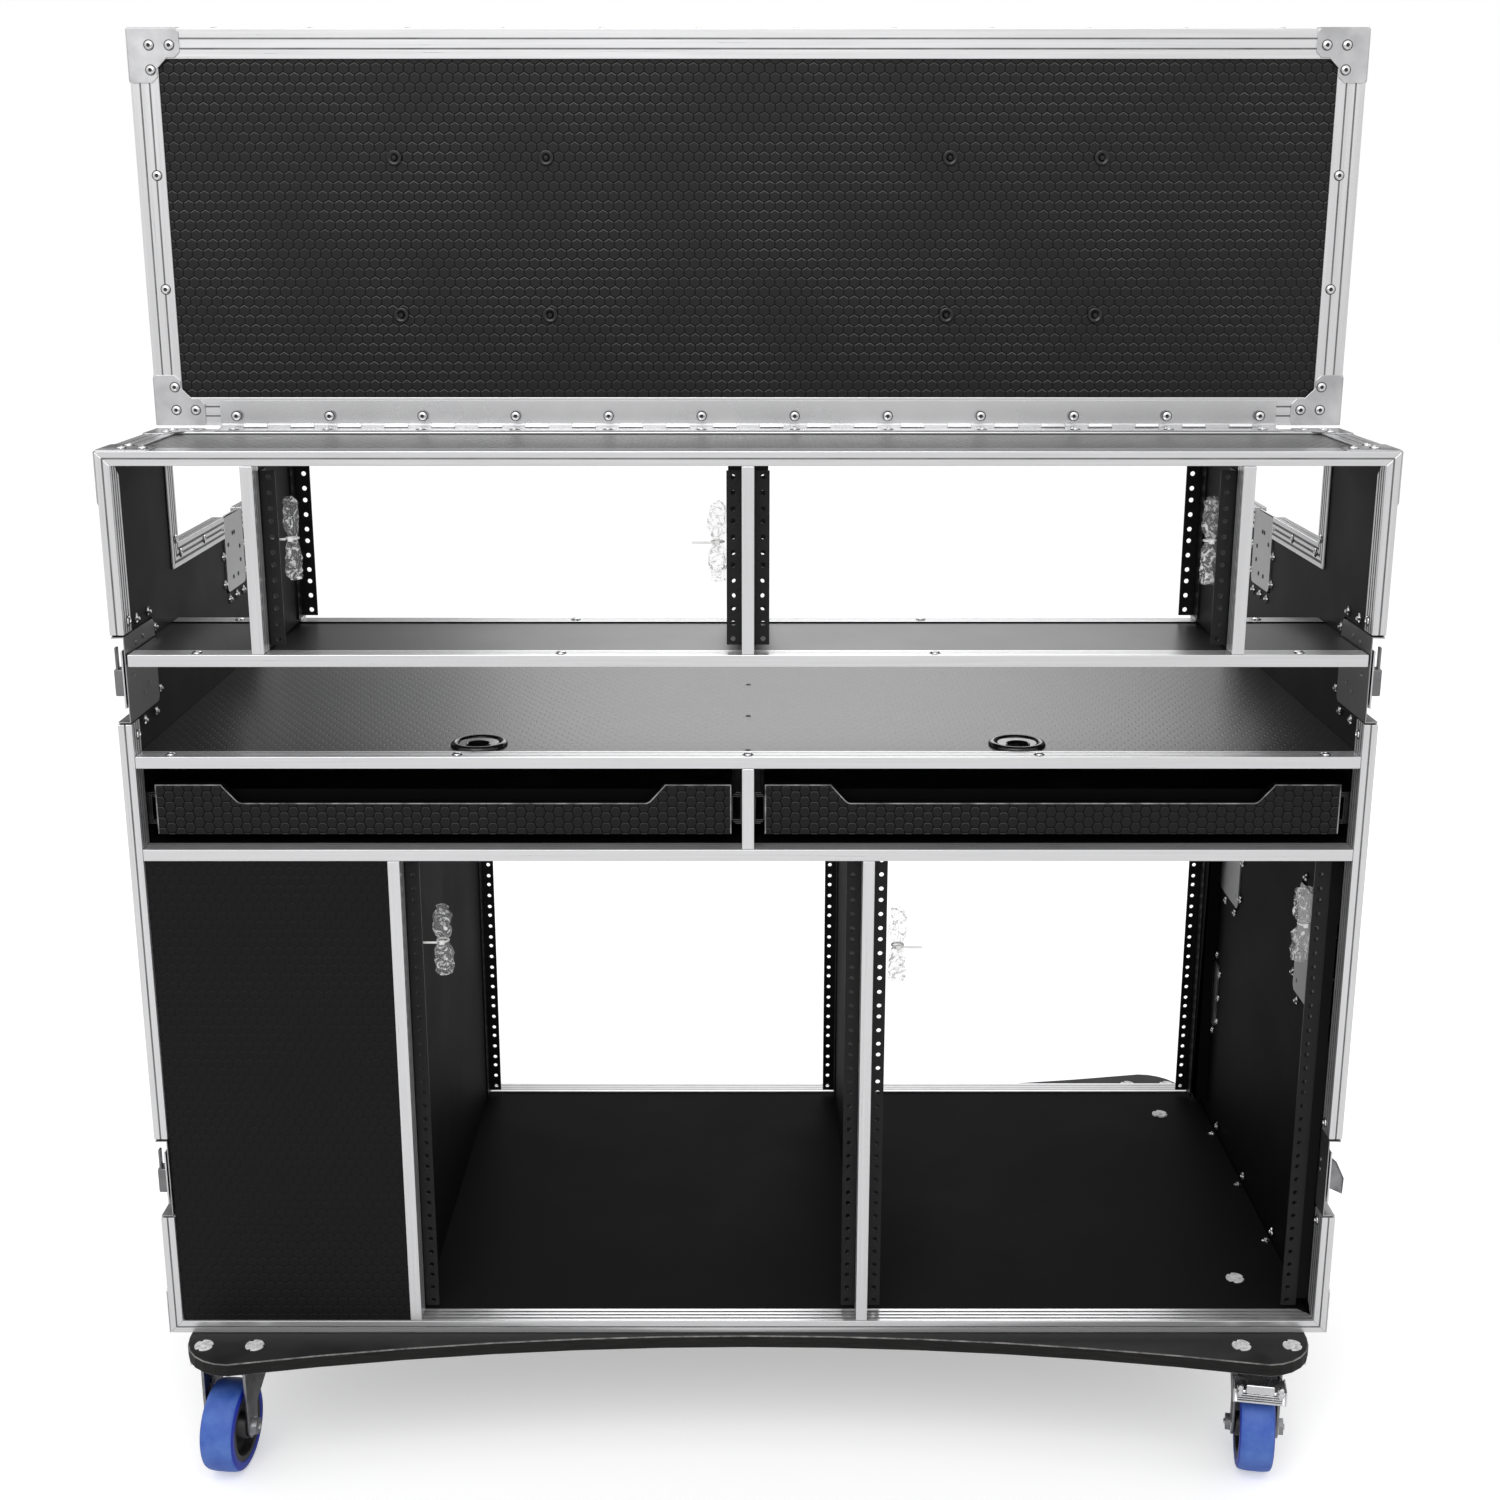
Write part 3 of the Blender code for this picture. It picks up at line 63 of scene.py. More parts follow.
# Camera, light and floor. The camera stands 1.9 m before the case, above its top panel, and looks down
# on it. The room is a white studio with a broad lamp overhead in front and another behind.
lens = bpy.data.cameras.new("camera")
lens.sensor_width = 36.0
lens.lens = 46.68
camera = bpy.data.objects.new("camera", lens)
camera.location = (0.002, -2.2337, 1.3461)
camera.rotation_euler = (math.radians(74.81), 0.0, 0.0)
bpy.context.scene.collection.objects.link(camera)
bpy.context.scene.camera = camera
bpy.context.scene.view_settings.view_transform = "Standard"

world = bpy.data.worlds.new("studio")
bpy.context.scene.world = world
world.use_nodes = True
sky = world.node_tree


def feed(node, inputs):
    """Gives each input of a node, by name or number, a value or a link from another node's socket."""
    for key, value in inputs.items():
        if isinstance(value, bpy.types.NodeSocket):
            node.id_data.links.new(value, node.inputs[key])
        else:
            node.inputs[key].default_value = value


def added(tree, kind, inputs=None, output=0, **settings):
    """Adds a shader node with its settings and inputs, and returns one of its output sockets."""
    node = tree.nodes.new("ShaderNode" + kind)
    for setting, value in settings.items():
        setattr(node, setting, value)
    feed(node, inputs or {})
    return node.outputs[output]


def maths(tree, operation, first, second):
    """A Math node of two sockets or numbers."""
    return added(tree, "Math", {0: first, 1: second}, operation=operation)


def ramp(tree, source, start, end, low=0.0, high=1.0, kind="SMOOTHSTEP"):
    """A change from low to high while the source goes from start to end."""
    return added(tree, "MapRange", {0: source, 1: start, 2: end, 3: low, 4: high}, interpolation_type=kind)


def material(name, inputs):
    """A new material with inputs of its shader set. Returns it, its node tree and the shader."""
    made = bpy.data.materials.new(name)
    made.use_nodes = True
    shader = made.node_tree.nodes["Principled BSDF"]
    feed(shader, inputs)
    return made, made.node_tree, shader


direction = added(sky, "TexCoord", output="Generated")
sky_x, sky_y, sky_z = [added(sky, "SeparateXYZ", {0: direction}, axis) for axis in range(3)]
sideways = ramp(sky, maths(sky, "ABSOLUTE", sky_x, 0.0), 0.07, 0.27, 0.0, 0.86)
behind = ramp(sky, sky_y, 0.35, 0.75)
ceiling = ramp(sky, sky_z, -0.35, 0.75, 0.62, 1.15)
room = maths(sky, "MULTIPLY", ceiling, maths(sky, "SUBTRACT", 1.0, maths(sky, "MULTIPLY", sideways, behind)))
seen, through, mirrored = [
    added(sky, "LightPath", output=f"Is {kind} Ray") for kind in ("Camera", "Transmission", "Glossy")
]
lit = added(sky, "Mix", {"Factor": mirrored, "A": 0.72, "B": room})
strength = added(sky, "Mix", {"Factor": maths(sky, "MAXIMUM", seen, through), "A": lit, "B": 1.0})
feed(sky.nodes["Background"], {"Color": (1.0, 1.0, 1.0, 1.0), "Strength": strength})

for name, place, turn, size, power in (
    ("lamp_over_front", (-0.5, -2.6, 3.2), (42, 0, -8), 2.4, 42.0),
    ("lamp_behind", (0.4, 3.0, 2.6), (-55, 0, 8), 2.2, 26.0),
):
    lamp = bpy.data.lights.new(name, "AREA")
    lamp.energy = power
    lamp.size = size
    holder = bpy.data.objects.new(name, lamp)
    holder.location = place
    holder.rotation_euler = [math.radians(angle) for angle in turn]
    bpy.context.scene.collection.objects.link(holder)

bpy.ops.object.select_all(action="DESELECT")
bpy.ops.mesh.primitive_plane_add(size=40.0, location=(0.0, 0.0, 0.0))
floor = bpy.context.object
floor.name = "studio_floor"
pale = {"Base Color": (0.90, 0.90, 0.90, 1.0), "Emission Color": (1.0, 1.0, 1.0, 1.0)}
floor_paint, tree, shader = material("floor_paint", {**pale, "Roughness": 0.9, "Specular IOR Level": 0.0})
seen = added(tree, "LightPath", output="Is Camera Ray")
feed(shader, {"Emission Strength": maths(tree, "MULTIPLY", seen, 0.42)})
floor.data.materials.append(floor_paint)


# Caster board: one sheet of plywood with hollowed long sides, painted black. Its arris is worn pale by
# knocks, and four-pronged nuts with wide zinc heads stand on top for the caster bolts.
def finish(name, dark, light, rough, grain=(1.0, 1.0, 1.0), scale=60.0, relief=0.0, level=0.5, metallic=0.0):
    """A finish whose colour and gloss drift between two ends over a grain. A number stands for a grey."""
    made, tree, shader = material(name, {"Metallic": metallic, "Specular IOR Level": level})
    place = added(tree, "TexCoord", output="Object")
    spread = added(tree, "Mapping", {"Vector": place, "Scale": grain})
    cloud = added(tree, "TexNoise", {"Vector": spread, "Scale": scale, "Detail": 5.0, "Roughness": 0.6})
    colour = added(tree, "ValToRGB", {"Fac": cloud})
    for end, position, tone in zip(colour.node.color_ramp.elements, (0.32, 0.68), (dark, light)):
        end.position = position
        end.color = (*tone, 1.0) if isinstance(tone, tuple) else (tone, tone, tone, 1.0)
    feed(shader, {"Base Color": colour, "Roughness": ramp(tree, cloud, 0.3, 0.7, *rough, "LINEAR")})
    if relief:
        bump = added(tree, "Bump", {"Strength": relief, "Distance": 0.0006, "Height": cloud})
        feed(shader, {"Normal": bump})
    return made


def chosen(piece):
    """Makes a piece the active one and the only one selected."""
    bpy.ops.object.select_all(action="DESELECT")
    bpy.context.view_layer.objects.active = piece
    piece.select_set(True)


def dress(piece, *looks):
    """Gives a piece its materials, in the order of their numbers."""
    piece.data.materials.clear()
    for look in looks:
        piece.data.materials.append(look)


def copy_of(node, name, slot, *looks):
    """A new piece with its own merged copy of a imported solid's mesh, standing for that solid."""
    solid = frame["nodes"][node]
    piece = bpy.data.objects.new(name, solid.data.copy())
    bpy.context.scene.collection.objects.link(piece)
    dress(piece, *looks)
    chosen(piece)
    bpy.ops.object.mode_set(mode="EDIT")
    bpy.ops.mesh.select_all(action="SELECT")
    bpy.ops.mesh.remove_doubles(threshold=0.00001)
    bpy.ops.mesh.dissolve_limited(angle_limit=math.radians(1.0))
    bpy.ops.object.mode_set(mode="OBJECT")
    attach(piece, solid["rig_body"])
    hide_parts(node)
    return piece


def applied(piece, kind, **settings):
    """Gives a piece a modifier and applies it."""
    step = piece.modifiers.new(kind.lower(), kind)
    for setting, value in settings.items():
        setattr(step, setting, value)
    chosen(piece)
    bpy.ops.object.modifier_apply(modifier=step.name)
    return piece


def soften(piece, width, segments=2, angle=30.0):
    """Rounds the edges of a piece that are sharper than an angle."""
    limit = {"limit_method": "ANGLE", "angle_limit": math.radians(angle), "use_clamp_overlap": True}
    return applied(piece, "BEVEL", width=width, segments=segments, **limit)


def smooth(piece, angle):
    """Shades a piece smooth, but for its edges sharper than an angle."""
    chosen(piece)
    bpy.ops.object.shade_smooth_by_angle(angle=math.radians(angle))


def closed(piece):
    """Turns all faces of the piece in Edit Mode outwards and leaves that mode."""
    bpy.ops.mesh.select_all(action="SELECT")
    bpy.ops.mesh.normals_make_consistent(inside=False)
    bpy.ops.object.mode_set(mode="OBJECT")
    return piece


PAINT_TONES = ((0.008, 0.008, 0.009), (0.030, 0.030, 0.031))
board_looks = (
    finish("board_paint", *PAINT_TONES, (0.40, 0.62), scale=22.0, relief=0.3, level=0.22),
    finish("board_edge", 0.003, (0.020, 0.019, 0.018), (0.5, 0.8), (0.04, 0.04, 1.0), 900.0, 0.6, 0.2),
    finish("worn_arris", 0.010, (0.30, 0.29, 0.28), (0.5, 0.7), scale=60.0),
)
board = copy_of("caster_board", "painted_caster_board", "board_black", *board_looks)
BOARD_TOP = 0.150
BOARD_FOOT = 0.135
bpy.ops.object.mode_set(mode="EDIT")
shape = bmesh.from_edit_mesh(board.data)
top_z = BOARD_TOP - 0.001
gone = [face for face in shape.faces if face.normal.z < 0.9 or face.calc_center_median().z < top_z]
bmesh.ops.delete(shape, geom=gone, context="FACES")
bmesh.update_edit_mesh(board.data)
bpy.ops.mesh.select_all(action="SELECT")
bpy.ops.mesh.extrude_region_move(TRANSFORM_OT_translate={"value": (0, 0, BOARD_FOOT - BOARD_TOP)})
soften(closed(board), 0.0011, 1, 50.0)
for face in board.data.polygons:
    upright = abs(face.normal.z)
    face.material_index = 1 if upright < 0.2 else (0 if upright > 0.95 else 2)


def block(xs, ys, zs, name="block"):
    """A box between two ends on each axis, its place in its mesh."""
    bpy.ops.object.select_all(action="DESELECT")
    bpy.ops.mesh.primitive_cube_add(size=1.0, location=[(a + b) / 2 for a, b in (xs, ys, zs)])
    piece = bpy.context.object
    piece.name = name
    piece.scale = [abs(b - a) for a, b in (xs, ys, zs)]
    bpy.ops.object.transform_apply(location=True, rotation=True, scale=True)
    return piece


def rounded(xs, ys, zs, width, segments=2):
    """A block with rounded edges."""
    return soften(block(xs, ys, zs), width, segments)


def about(middle, half):
    """The two ends of a length that lies evenly about its middle."""
    return middle - half, middle + half


def lathed(profile, steps, smoothed=0.0):
    """A profile of radius and height in millimetres turned round Z at the origin, closed."""
    bpy.ops.object.select_all(action="DESELECT")
    bpy.ops.mesh.primitive_circle_add(vertices=len(profile), radius=1.0)
    piece = bpy.context.object
    for vertex, (radius, height) in zip(piece.data.vertices, profile):
        vertex.co = (radius / 1000, 0.0, height / 1000)
    bpy.ops.object.mode_set(mode="EDIT")
    bpy.ops.mesh.select_all(action="SELECT")
    bpy.ops.mesh.spin(steps=steps, angle=math.tau, center=(0, 0, 0), axis=(0, 0, 1))
    bpy.ops.mesh.select_all(action="SELECT")
    bpy.ops.mesh.remove_doubles(threshold=0.000005)
    closed(piece)
    if smoothed:
        smooth(piece, smoothed)
    return piece


def joined(pieces):
    """Makes one piece of several."""
    chosen(pieces[0])
    for piece in pieces:
        piece.select_set(True)
    if len(pieces) > 1:
        bpy.ops.object.join()
    return pieces[0]


def gathered(name, pieces, body, look, slot, *nodes):
    """Joins pieces into one with its place in its mesh, and puts it on its body."""
    made = joined(pieces)
    bpy.ops.object.transform_apply(location=True, rotation=True, scale=True)
    made.name = name
    if look:
        dress(made, look)
    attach(made, body)
    if nodes:
        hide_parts(*nodes)
    return made


def placed(source, matrix):
    """A copy of a small piece made at the origin, moved in its mesh."""
    one = source.copy()
    one.data = source.data.copy()
    one.data.transform(matrix)
    bpy.context.scene.collection.objects.link(one)
    return one


def set_at(source, places):
    """Copies of a small piece that faces +Z, each at a place and facing a direction."""
    made = []
    for place, facing in places:
        turn = Vector((0, 0, 1)).rotation_difference(Vector(facing)).to_matrix().to_4x4()
        made.append(placed(source, Matrix.Translation(place) @ turn))
    return made


def discard(*pieces):
    """Removes pieces that only served to make others."""
    for piece in pieces:
        bpy.data.objects.remove(piece)


UP = (0, 0, 1)
FORWARD = (0, -1, 0)
SIDES = ((-1, "left"), (1, "right"))
CORNERS = [(x, y) for x in (-1, 1) for y in (-1, 1)]
SWIVEL_X = 0.572
SWIVEL_Y = 0.294
ZINC_TONES = ((0.70, 0.70, 0.71), (0.82, 0.82, 0.83))
zinc = finish("bright_zinc", *ZINC_TONES, (0.20, 0.32), scale=40.0, relief=0.03, metallic=1.0)
nut_zinc = finish("dull_nut_zinc", 0.55, 0.98, (0.35, 0.5), scale=190.0, relief=0.9)
PRONG_HEAD = [(0, 2.2), (3.0, 2.2), (3.4, 1.4), (5.2, 1.5), (9.8, 1.7), (10.4, 0.8), (10.4, 0), (0, 0)]
prong_head = lathed(PRONG_HEAD, 24)
for notch in range(3):
    angle = math.tau * notch / 3
    for vertex in prong_head.data.vertices:
        flat = vertex.co.xy
        if flat.length > 0.009 and abs(flat.angle_signed(Vector((math.cos(angle), math.sin(angle))))) < 0.22:
            vertex.co.x *= 0.72
            vertex.co.y *= 0.72
board_nuts = []
for x, y in CORNERS:
    nut_y = y * (SWIVEL_Y + 0.042)
    board_nuts += [((nut_x, nut_y, BOARD_TOP), UP) for nut_x in about(x * SWIVEL_X, 0.028)]
gathered("board_nuts", set_at(prong_head, board_nuts), "case", nut_zinc, "zinc")

# Caster plates: pressed zinc plates under the board, each held by four bolts with washers and nuts.
# They are part of the caster board's own solid.
PLATE_FOOT = 0.132
plates = []
bolts = []
for x, y in CORNERS:
    x *= SWIVEL_X
    y *= SWIVEL_Y
    plates.append(rounded(about(x, 0.042), about(y, 0.052), (PLATE_FOOT, BOARD_FOOT), 0.0009))
    bolts += [((x + u * 0.030, y + v * 0.040, PLATE_FOOT), (0, 0, -1)) for u, v in CORNERS]
bolt_head = lathed([(0, 6.2), (4.6, 6.2), (5.2, 5.4), (5.2, 1.4), (7.8, 1.2), (8.0, 0), (0, 0)], 6)
gathered("caster_plates", plates + set_at(bolt_head, bolts), "case", zinc, "zinc", "caster_board")
discard(bolt_head)

# Casters: a pressed steel fork with rolled cheek edges on a double ball race, and a nylon-centred wheel
# with a blue elastic tyre on an axle bolt.
fork_zinc = finish("fork_zinc", (0.20, 0.20, 0.21), (0.34, 0.34, 0.35), (0.24, 0.38), metallic=1.0)
TREAD_BLUE = ((0.030, 0.095, 0.46), (0.095, 0.200, 0.58))
SIDE_BLUE = ((0.003, 0.018, 0.33), (0.006, 0.030, 0.47))
tread_rubber = finish("scuffed_blue_tread", *TREAD_BLUE, (0.42, 0.62), scale=34.0, relief=0.15)
side_rubber = finish("deep_blue_rubber", *SIDE_BLUE, (0.28, 0.42), scale=30.0, relief=0.04)
core_nylon = finish("core_nylon", 0.008, 0.020, (0.30, 0.45), scale=120.0, relief=0.1)
WHEEL_RADIUS = 0.050
TRAIL = 0.040
AXLE_END = 0.0252
TYRE = [(38.8, 18.3), (40.5, 19.0), (45.5, 18.8), (47.8, 17.6), (49.0, 15.5), (49.7, 11.0), (50.0, 5.0)]
tyre_shape = lathed(TYRE + [(r, -z) for r, z in reversed(TYRE)], 56, 50.0)
dress(tyre_shape, tread_rubber, side_rubber)
for face in tyre_shape.data.polygons:
    face.material_index = 1 if abs(face.normal.z) > 0.62 or face.center.xy.length < 0.045 else 0
CORE = [(6.4, 21.2), (12.8, 21.2), (13.8, 20.2), (14.6, 10.0), (16.5, 7.8), (29.0, 7.8), (31.2, 10.0)]
CORE += [(32.2, 17.4), (33.2, 18.1), (38.4, 18.1)]
core_shape = lathed(CORE + [(r, -z) for r, z in reversed(CORE)], 48, 50.0)
AXLE = [(0, 8.0), (2.8, 8.0), (3.6, 7.4), (3.6, 6.0), (7.8, 5.8), (8.6, 5.0), (8.6, 1.0), (11.2, 0.8)]
axle_end = lathed(AXLE + [(11.2, 0), (0, 0)], 6)
RACE = [(0, 131.7), (30.0, 131.7), (33.5, 130.8), (35.0, 129.0), (34.5, 127.5), (32.8, 126.8), (34.5, 125.6)]
race_shape = lathed(RACE + [(34.5, 124.5), (0, 124.5)], 40, 40.0)
stands = {}
for corner, x, y, turn in (
    ("front_left", -1, -1, -7.0),
    ("front_right", 1, -1, -10.0),
    ("rear_right", 1, 1, 173.0),
    ("rear_left", -1, 1, 170.0),
):
    stand = Matrix.Translation((x * SWIVEL_X, y * SWIVEL_Y, 0)) @ Matrix.Rotation(math.radians(turn), 4, "Z")
    stands[corner] = stand
    axle = stand @ Matrix.Translation((0, -TRAIL, WHEEL_RADIUS)) @ Matrix.Rotation(math.pi / 2, 4, "Y")
    fork = copy_of(f"fork_{corner}", f"pressed_fork_{corner}", "fork_steel", fork_zinc)
    smooth(soften(fork, 0.0010, 2, 40.0), 40.0)
    fittings = []
    for way, over in ((-1, math.pi), (1, 0)):
        out = Matrix.Translation((0, 0, way * AXLE_END)) @ Matrix.Rotation(over, 4, "X")
        fittings.append(placed(axle_end, axle @ out))
    fittings.append(placed(race_shape, stand))
    gathered(f"fork_fittings_{corner}", fittings, f"fork_{corner}", zinc, "zinc")
    for wheel_part, name, node, look, slot in (
        (tyre_shape, "elastic_tyre", "tyre", None, "tyre_blue"),
        (core_shape, "nylon_core", "wheel_core", core_nylon, "core_black"),
    ):
        part = placed(wheel_part, axle)
        gathered(f"{name}_{corner}", [part], f"wheel_{corner}", look, slot, f"{node}_{corner}")
discard(tyre_shape, core_shape, axle_end, race_shape)

# Foot brakes: a bent zinc tread plate with a ridged toe end, on an arm between the cheeks. Four bolts
# hold its neck.
TREAD_FACE = -0.0790
TREAD_BACK = -0.0765
tread_bolt = lathed([(0, 2.6), (2.6, 2.4), (3.6, 1.0), (3.6, -1.6), (0, -1.6)], 12, 50.0)
for corner in ("front_right", "rear_left"):
    soften(copy_of(f"brake_pedal_{corner}", f"brake_arm_{corner}", "zinc", zinc), 0.0008)
    trim = []
    for rib in range(4):
        foot = 0.1105 - rib * 0.0026
        rib_y = (-0.0800 - rib * 0.0002, TREAD_BACK)
        trim.append(rounded((-0.024, 0.024), rib_y, (foot, foot + 0.0012), 0.0004))
    for way in (-1, 1):
        trim.append(rounded((way * 0.0285, way * 0.0265), (-0.078, -0.050), (0.0995, 0.1165), 0.0006))
    trim.append(rounded((-0.0150, 0.0150), (TREAD_FACE, TREAD_BACK), (0.1120, 0.1224), 0.0011, 3))
    for z in (0.1128, 0.1188):
        trim += set_at(tread_bolt, [((x, TREAD_FACE, z), FORWARD) for x in (-0.0215, 0.0215)])
    for piece in trim:
        piece.data.transform(stands[corner])
    gathered(f"brake_tread_{corner}", trim, f"pedal_{corner}", zinc, "zinc")
discard(tread_bolt)

# Side walls: birch plywood with a black laminate pressed in hexagons outside and smooth inside, holed
# for the latch and handle dishes.
HEX_PITCH = 0.0114


def hex_laminate(name, across, up, tones, level=0.22, rough=0.42, relief=0.8, turned=False):
    """Black laminate with raised hexagons in the plane of two axes, 0 to 2 for X to Z.

    The tones are those of the grooves, of the hexagons and of a painted highlight on their upper edges.
    """
    made, tree, shader = material(name, {"Roughness": rough, "Specular IOR Level": level})
    place = added(tree, "TexCoord", output="Object")

    def vectors(operation, *inputs, output=0):
        return added(tree, "VectorMath", dict(enumerate(inputs)), output, operation=operation)

    def axis_of(vector, axis):
        return added(tree, "SeparateXYZ", {0: vector}, axis)

    if turned:
        across, up = up, across
    flat = added(tree, "CombineXYZ", {0: axis_of(place, across), 1: axis_of(place, up)})
    row = math.sqrt(3.0)
    cell = (1.0, row, 1.0)
    middle = (0.5, row / 2, 0.5)
    scaled = added(tree, "VectorMath", {0: flat, "Scale": 1.0 / HEX_PITCH}, operation="SCALE")
    moved = vectors("ADD", scaled, (200.0, 200.0 * row, 0.5))
    first = vectors("SUBTRACT", vectors("MODULO", moved, cell), middle)
    shifted = vectors("ADD", moved, (0.5, row / 2, 0.0))
    second = vectors("SUBTRACT", vectors("MODULO", shifted, cell), middle)
    lengths = [vectors("LENGTH", point, output="Value") for point in (first, second)]
    farther = maths(tree, "GREATER_THAN", *lengths)
    centre = added(tree, "Mix", {"Factor": farther, 4: first, 5: second}, 1, data_type="VECTOR")
    folded = vectors("ABSOLUTE", centre)
    flank = axis_of(folded, 0)
    slant = maths(tree, "MULTIPLY", axis_of(folded, 1), row / 2)
    slanted = maths(tree, "ADD", maths(tree, "MULTIPLY", flank, 0.5), slant)
    inward = maths(tree, "SUBTRACT", 0.5, maths(tree, "MAXIMUM", flank, slanted))
    # The groove tone, where darker than the hexagons', is painted shade in the grooves.
    ridge = ramp(tree, inward, 0.0, 0.085)
    # Upper edges of the hexagons, in patches, take the third tone: a painted highlight for light from above.
    upward = ramp(tree, axis_of(centre, 0 if turned else 1), 0.16, 0.34)
    glint_band = ramp(tree, maths(tree, "ABSOLUTE", maths(tree, "SUBTRACT", inward, 0.075), 0.0), 0.050, 0.022)
    patches = added(tree, "TexNoise", {"Vector": place, "Scale": 9.0})
    patchy = ramp(tree, patches, 0.38, 0.60, 0.35, 1.0, "LINEAR")
    painted_glint_share = maths(tree, "MULTIPLY", maths(tree, "MULTIPLY", upward, glint_band), patchy)
    groove, face, edge = [(tone, tone, tone, 1.0) for tone in tones]
    tint = added(tree, "Mix", {"Factor": ridge, 6: groove, 7: face}, 2, data_type="RGBA")
    glint = added(tree, "Mix", {"Factor": painted_glint_share, 6: tint, 7: edge}, 2, data_type="RGBA")
    pores = added(tree, "TexNoise", {"Vector": place, "Scale": 900.0})
    height = maths(tree, "ADD", ridge, maths(tree, "MULTIPLY", pores, 0.12))
    bump = added(tree, "Bump", {"Strength": relief, "Distance": 0.0009, "Height": height})
    feed(shader, {"Base Color": glint, "Normal": bump})
    return made


HALF_WIDTH = 0.644
FRONT = -0.310
REAR = 0.310
BODY_BOTTOM = 0.1503
BODY_TOP = 1.1283
STEP_TOP = 1.0043
HINGE_Y = -0.098
WALL_OUT = 0.6415
WALL_IN = 0.632
SEAT = 0.0025
UPPER_LATCH = (0.8503, 0.9433)
LOWER_LATCH = (0.2923, 0.3863)
HANDLE_SPAN = (0.4883, 0.6233)
LID_LATCH_Y = (0.092, 0.176)
LID_LATCH = (0.9103, 1.0043)
LATCH_LENGTH = 0.102
DISH_FACE = 0.630
BAY_CEILING = 0.810
DISHES = [
    ((FRONT, FRONT + LATCH_LENGTH), UPPER_LATCH, "front"),
    ((FRONT, FRONT + LATCH_LENGTH), LOWER_LATCH, "front"),
    ((REAR - LATCH_LENGTH, REAR), UPPER_LATCH, "rear"),
    ((REAR - LATCH_LENGTH, REAR), LOWER_LATCH, "rear"),
    ((FRONT + 0.050, FRONT + 0.178), HANDLE_SPAN, "none"),
    ((REAR - 0.178, REAR - 0.050), HANDLE_SPAN, "none"),
    (LID_LATCH_Y, LID_LATCH, "top"),
]

hex_side = hex_laminate("hex_laminate_side", 1, 2, (0.0015, 0.0120, 0.060))
WALL_TONES = ((0.0100, 0.0100, 0.0103), (0.0120, 0.0120, 0.0123))
SHADED_BAY_TONES = ((0.0072, 0.0072, 0.0074), (0.0092, 0.0092, 0.0094))
wall_black = finish("wall_black_laminate", *WALL_TONES, (0.48, 0.56), scale=9.0, level=0.09)
# This darker copy of the inside laminate is painted shade for the dim lower bays, floor, drawer deck, lower
# dividers and packers.
shaded_bay_black = finish("shaded_bay_black_laminate", *SHADED_BAY_TONES, (0.56, 0.64), scale=9.0, level=0.03)
ply_edge = finish("ply_edge_black", 0.004, 0.014, (0.55, 0.75), (0.1, 0.1, 1.0), 700.0, 0.3, 0.2)


def bored(piece, cutters):
    """Cuts blocks out of a piece with one Boolean and removes the blocks."""
    cutter = joined(cutters)
    applied(piece, "BOOLEAN", operation="DIFFERENCE", solver="EXACT", use_self=True, object=cutter)
    discard(cutter)
    return piece


for side, hand in SIDES:
    wall_y = (FRONT + SEAT, REAR - SEAT)
    wall_z = (BODY_BOTTOM + SEAT, BODY_TOP - SEAT)
    wall = block((side * WALL_IN, side * WALL_OUT), wall_y, wall_z, f"wall_{hand}")
    through = (side * 0.60, side * 0.66)
    cutters = [block(through, (HINGE_Y - SEAT, REAR + 0.01), (STEP_TOP - SEAT, BODY_TOP + 0.01))]
    for y_ends, z_ends, _ in DISHES:
        cutters.append(block(through, y_ends, (z_ends[0] + 0.0003, z_ends[1] - 0.0003)))
    bored(wall, cutters)
    bpy.ops.object.mode_set(mode="EDIT")
    bpy.ops.mesh.select_all(action="SELECT")
    bpy.ops.mesh.bisect(plane_co=(0, 0, BAY_CEILING), plane_no=(0, 0, 1))
    bpy.ops.object.mode_set(mode="OBJECT")
    dress(wall, wall_black, hex_side, ply_edge, shaded_bay_black)
    # Inside faces below the bay ceiling take the darker copy: painted shade.
    for face in wall.data.polygons:
        facing = face.normal.x * side
        inside = 0 if face.center.z > BAY_CEILING else 3
        face.material_index = 1 if facing > 0.9 else (inside if facing < -0.9 else 2)
    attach(wall, "case")
    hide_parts(f"side_panel_{hand}")

# Dishes: pressed steel trays riveted into the walls, so that latches and handles lie below the edging.
# Inside, the back of each tray shows as a plate with rounded corners.
DISH_TONES = ((0.36, 0.36, 0.37), (0.48, 0.48, 0.49))
dish_steel = finish("dish_steel", *DISH_TONES, (0.28, 0.40), scale=26.0, metallic=0.95)
BACK_TONES = ((0.17, 0.17, 0.175), (0.24, 0.24, 0.245))
dish_back = finish("dull_dish_back", *BACK_TONES, (0.32, 0.44), scale=26.0, metallic=0.85)
DISH_WALL = 0.0014
DISH_CORNER = 0.008
DISH_INSET = 0.0018
FLANGE = 0.014
FLANGE_SEAT = 0.0022
HOLE_INSET = 0.0016


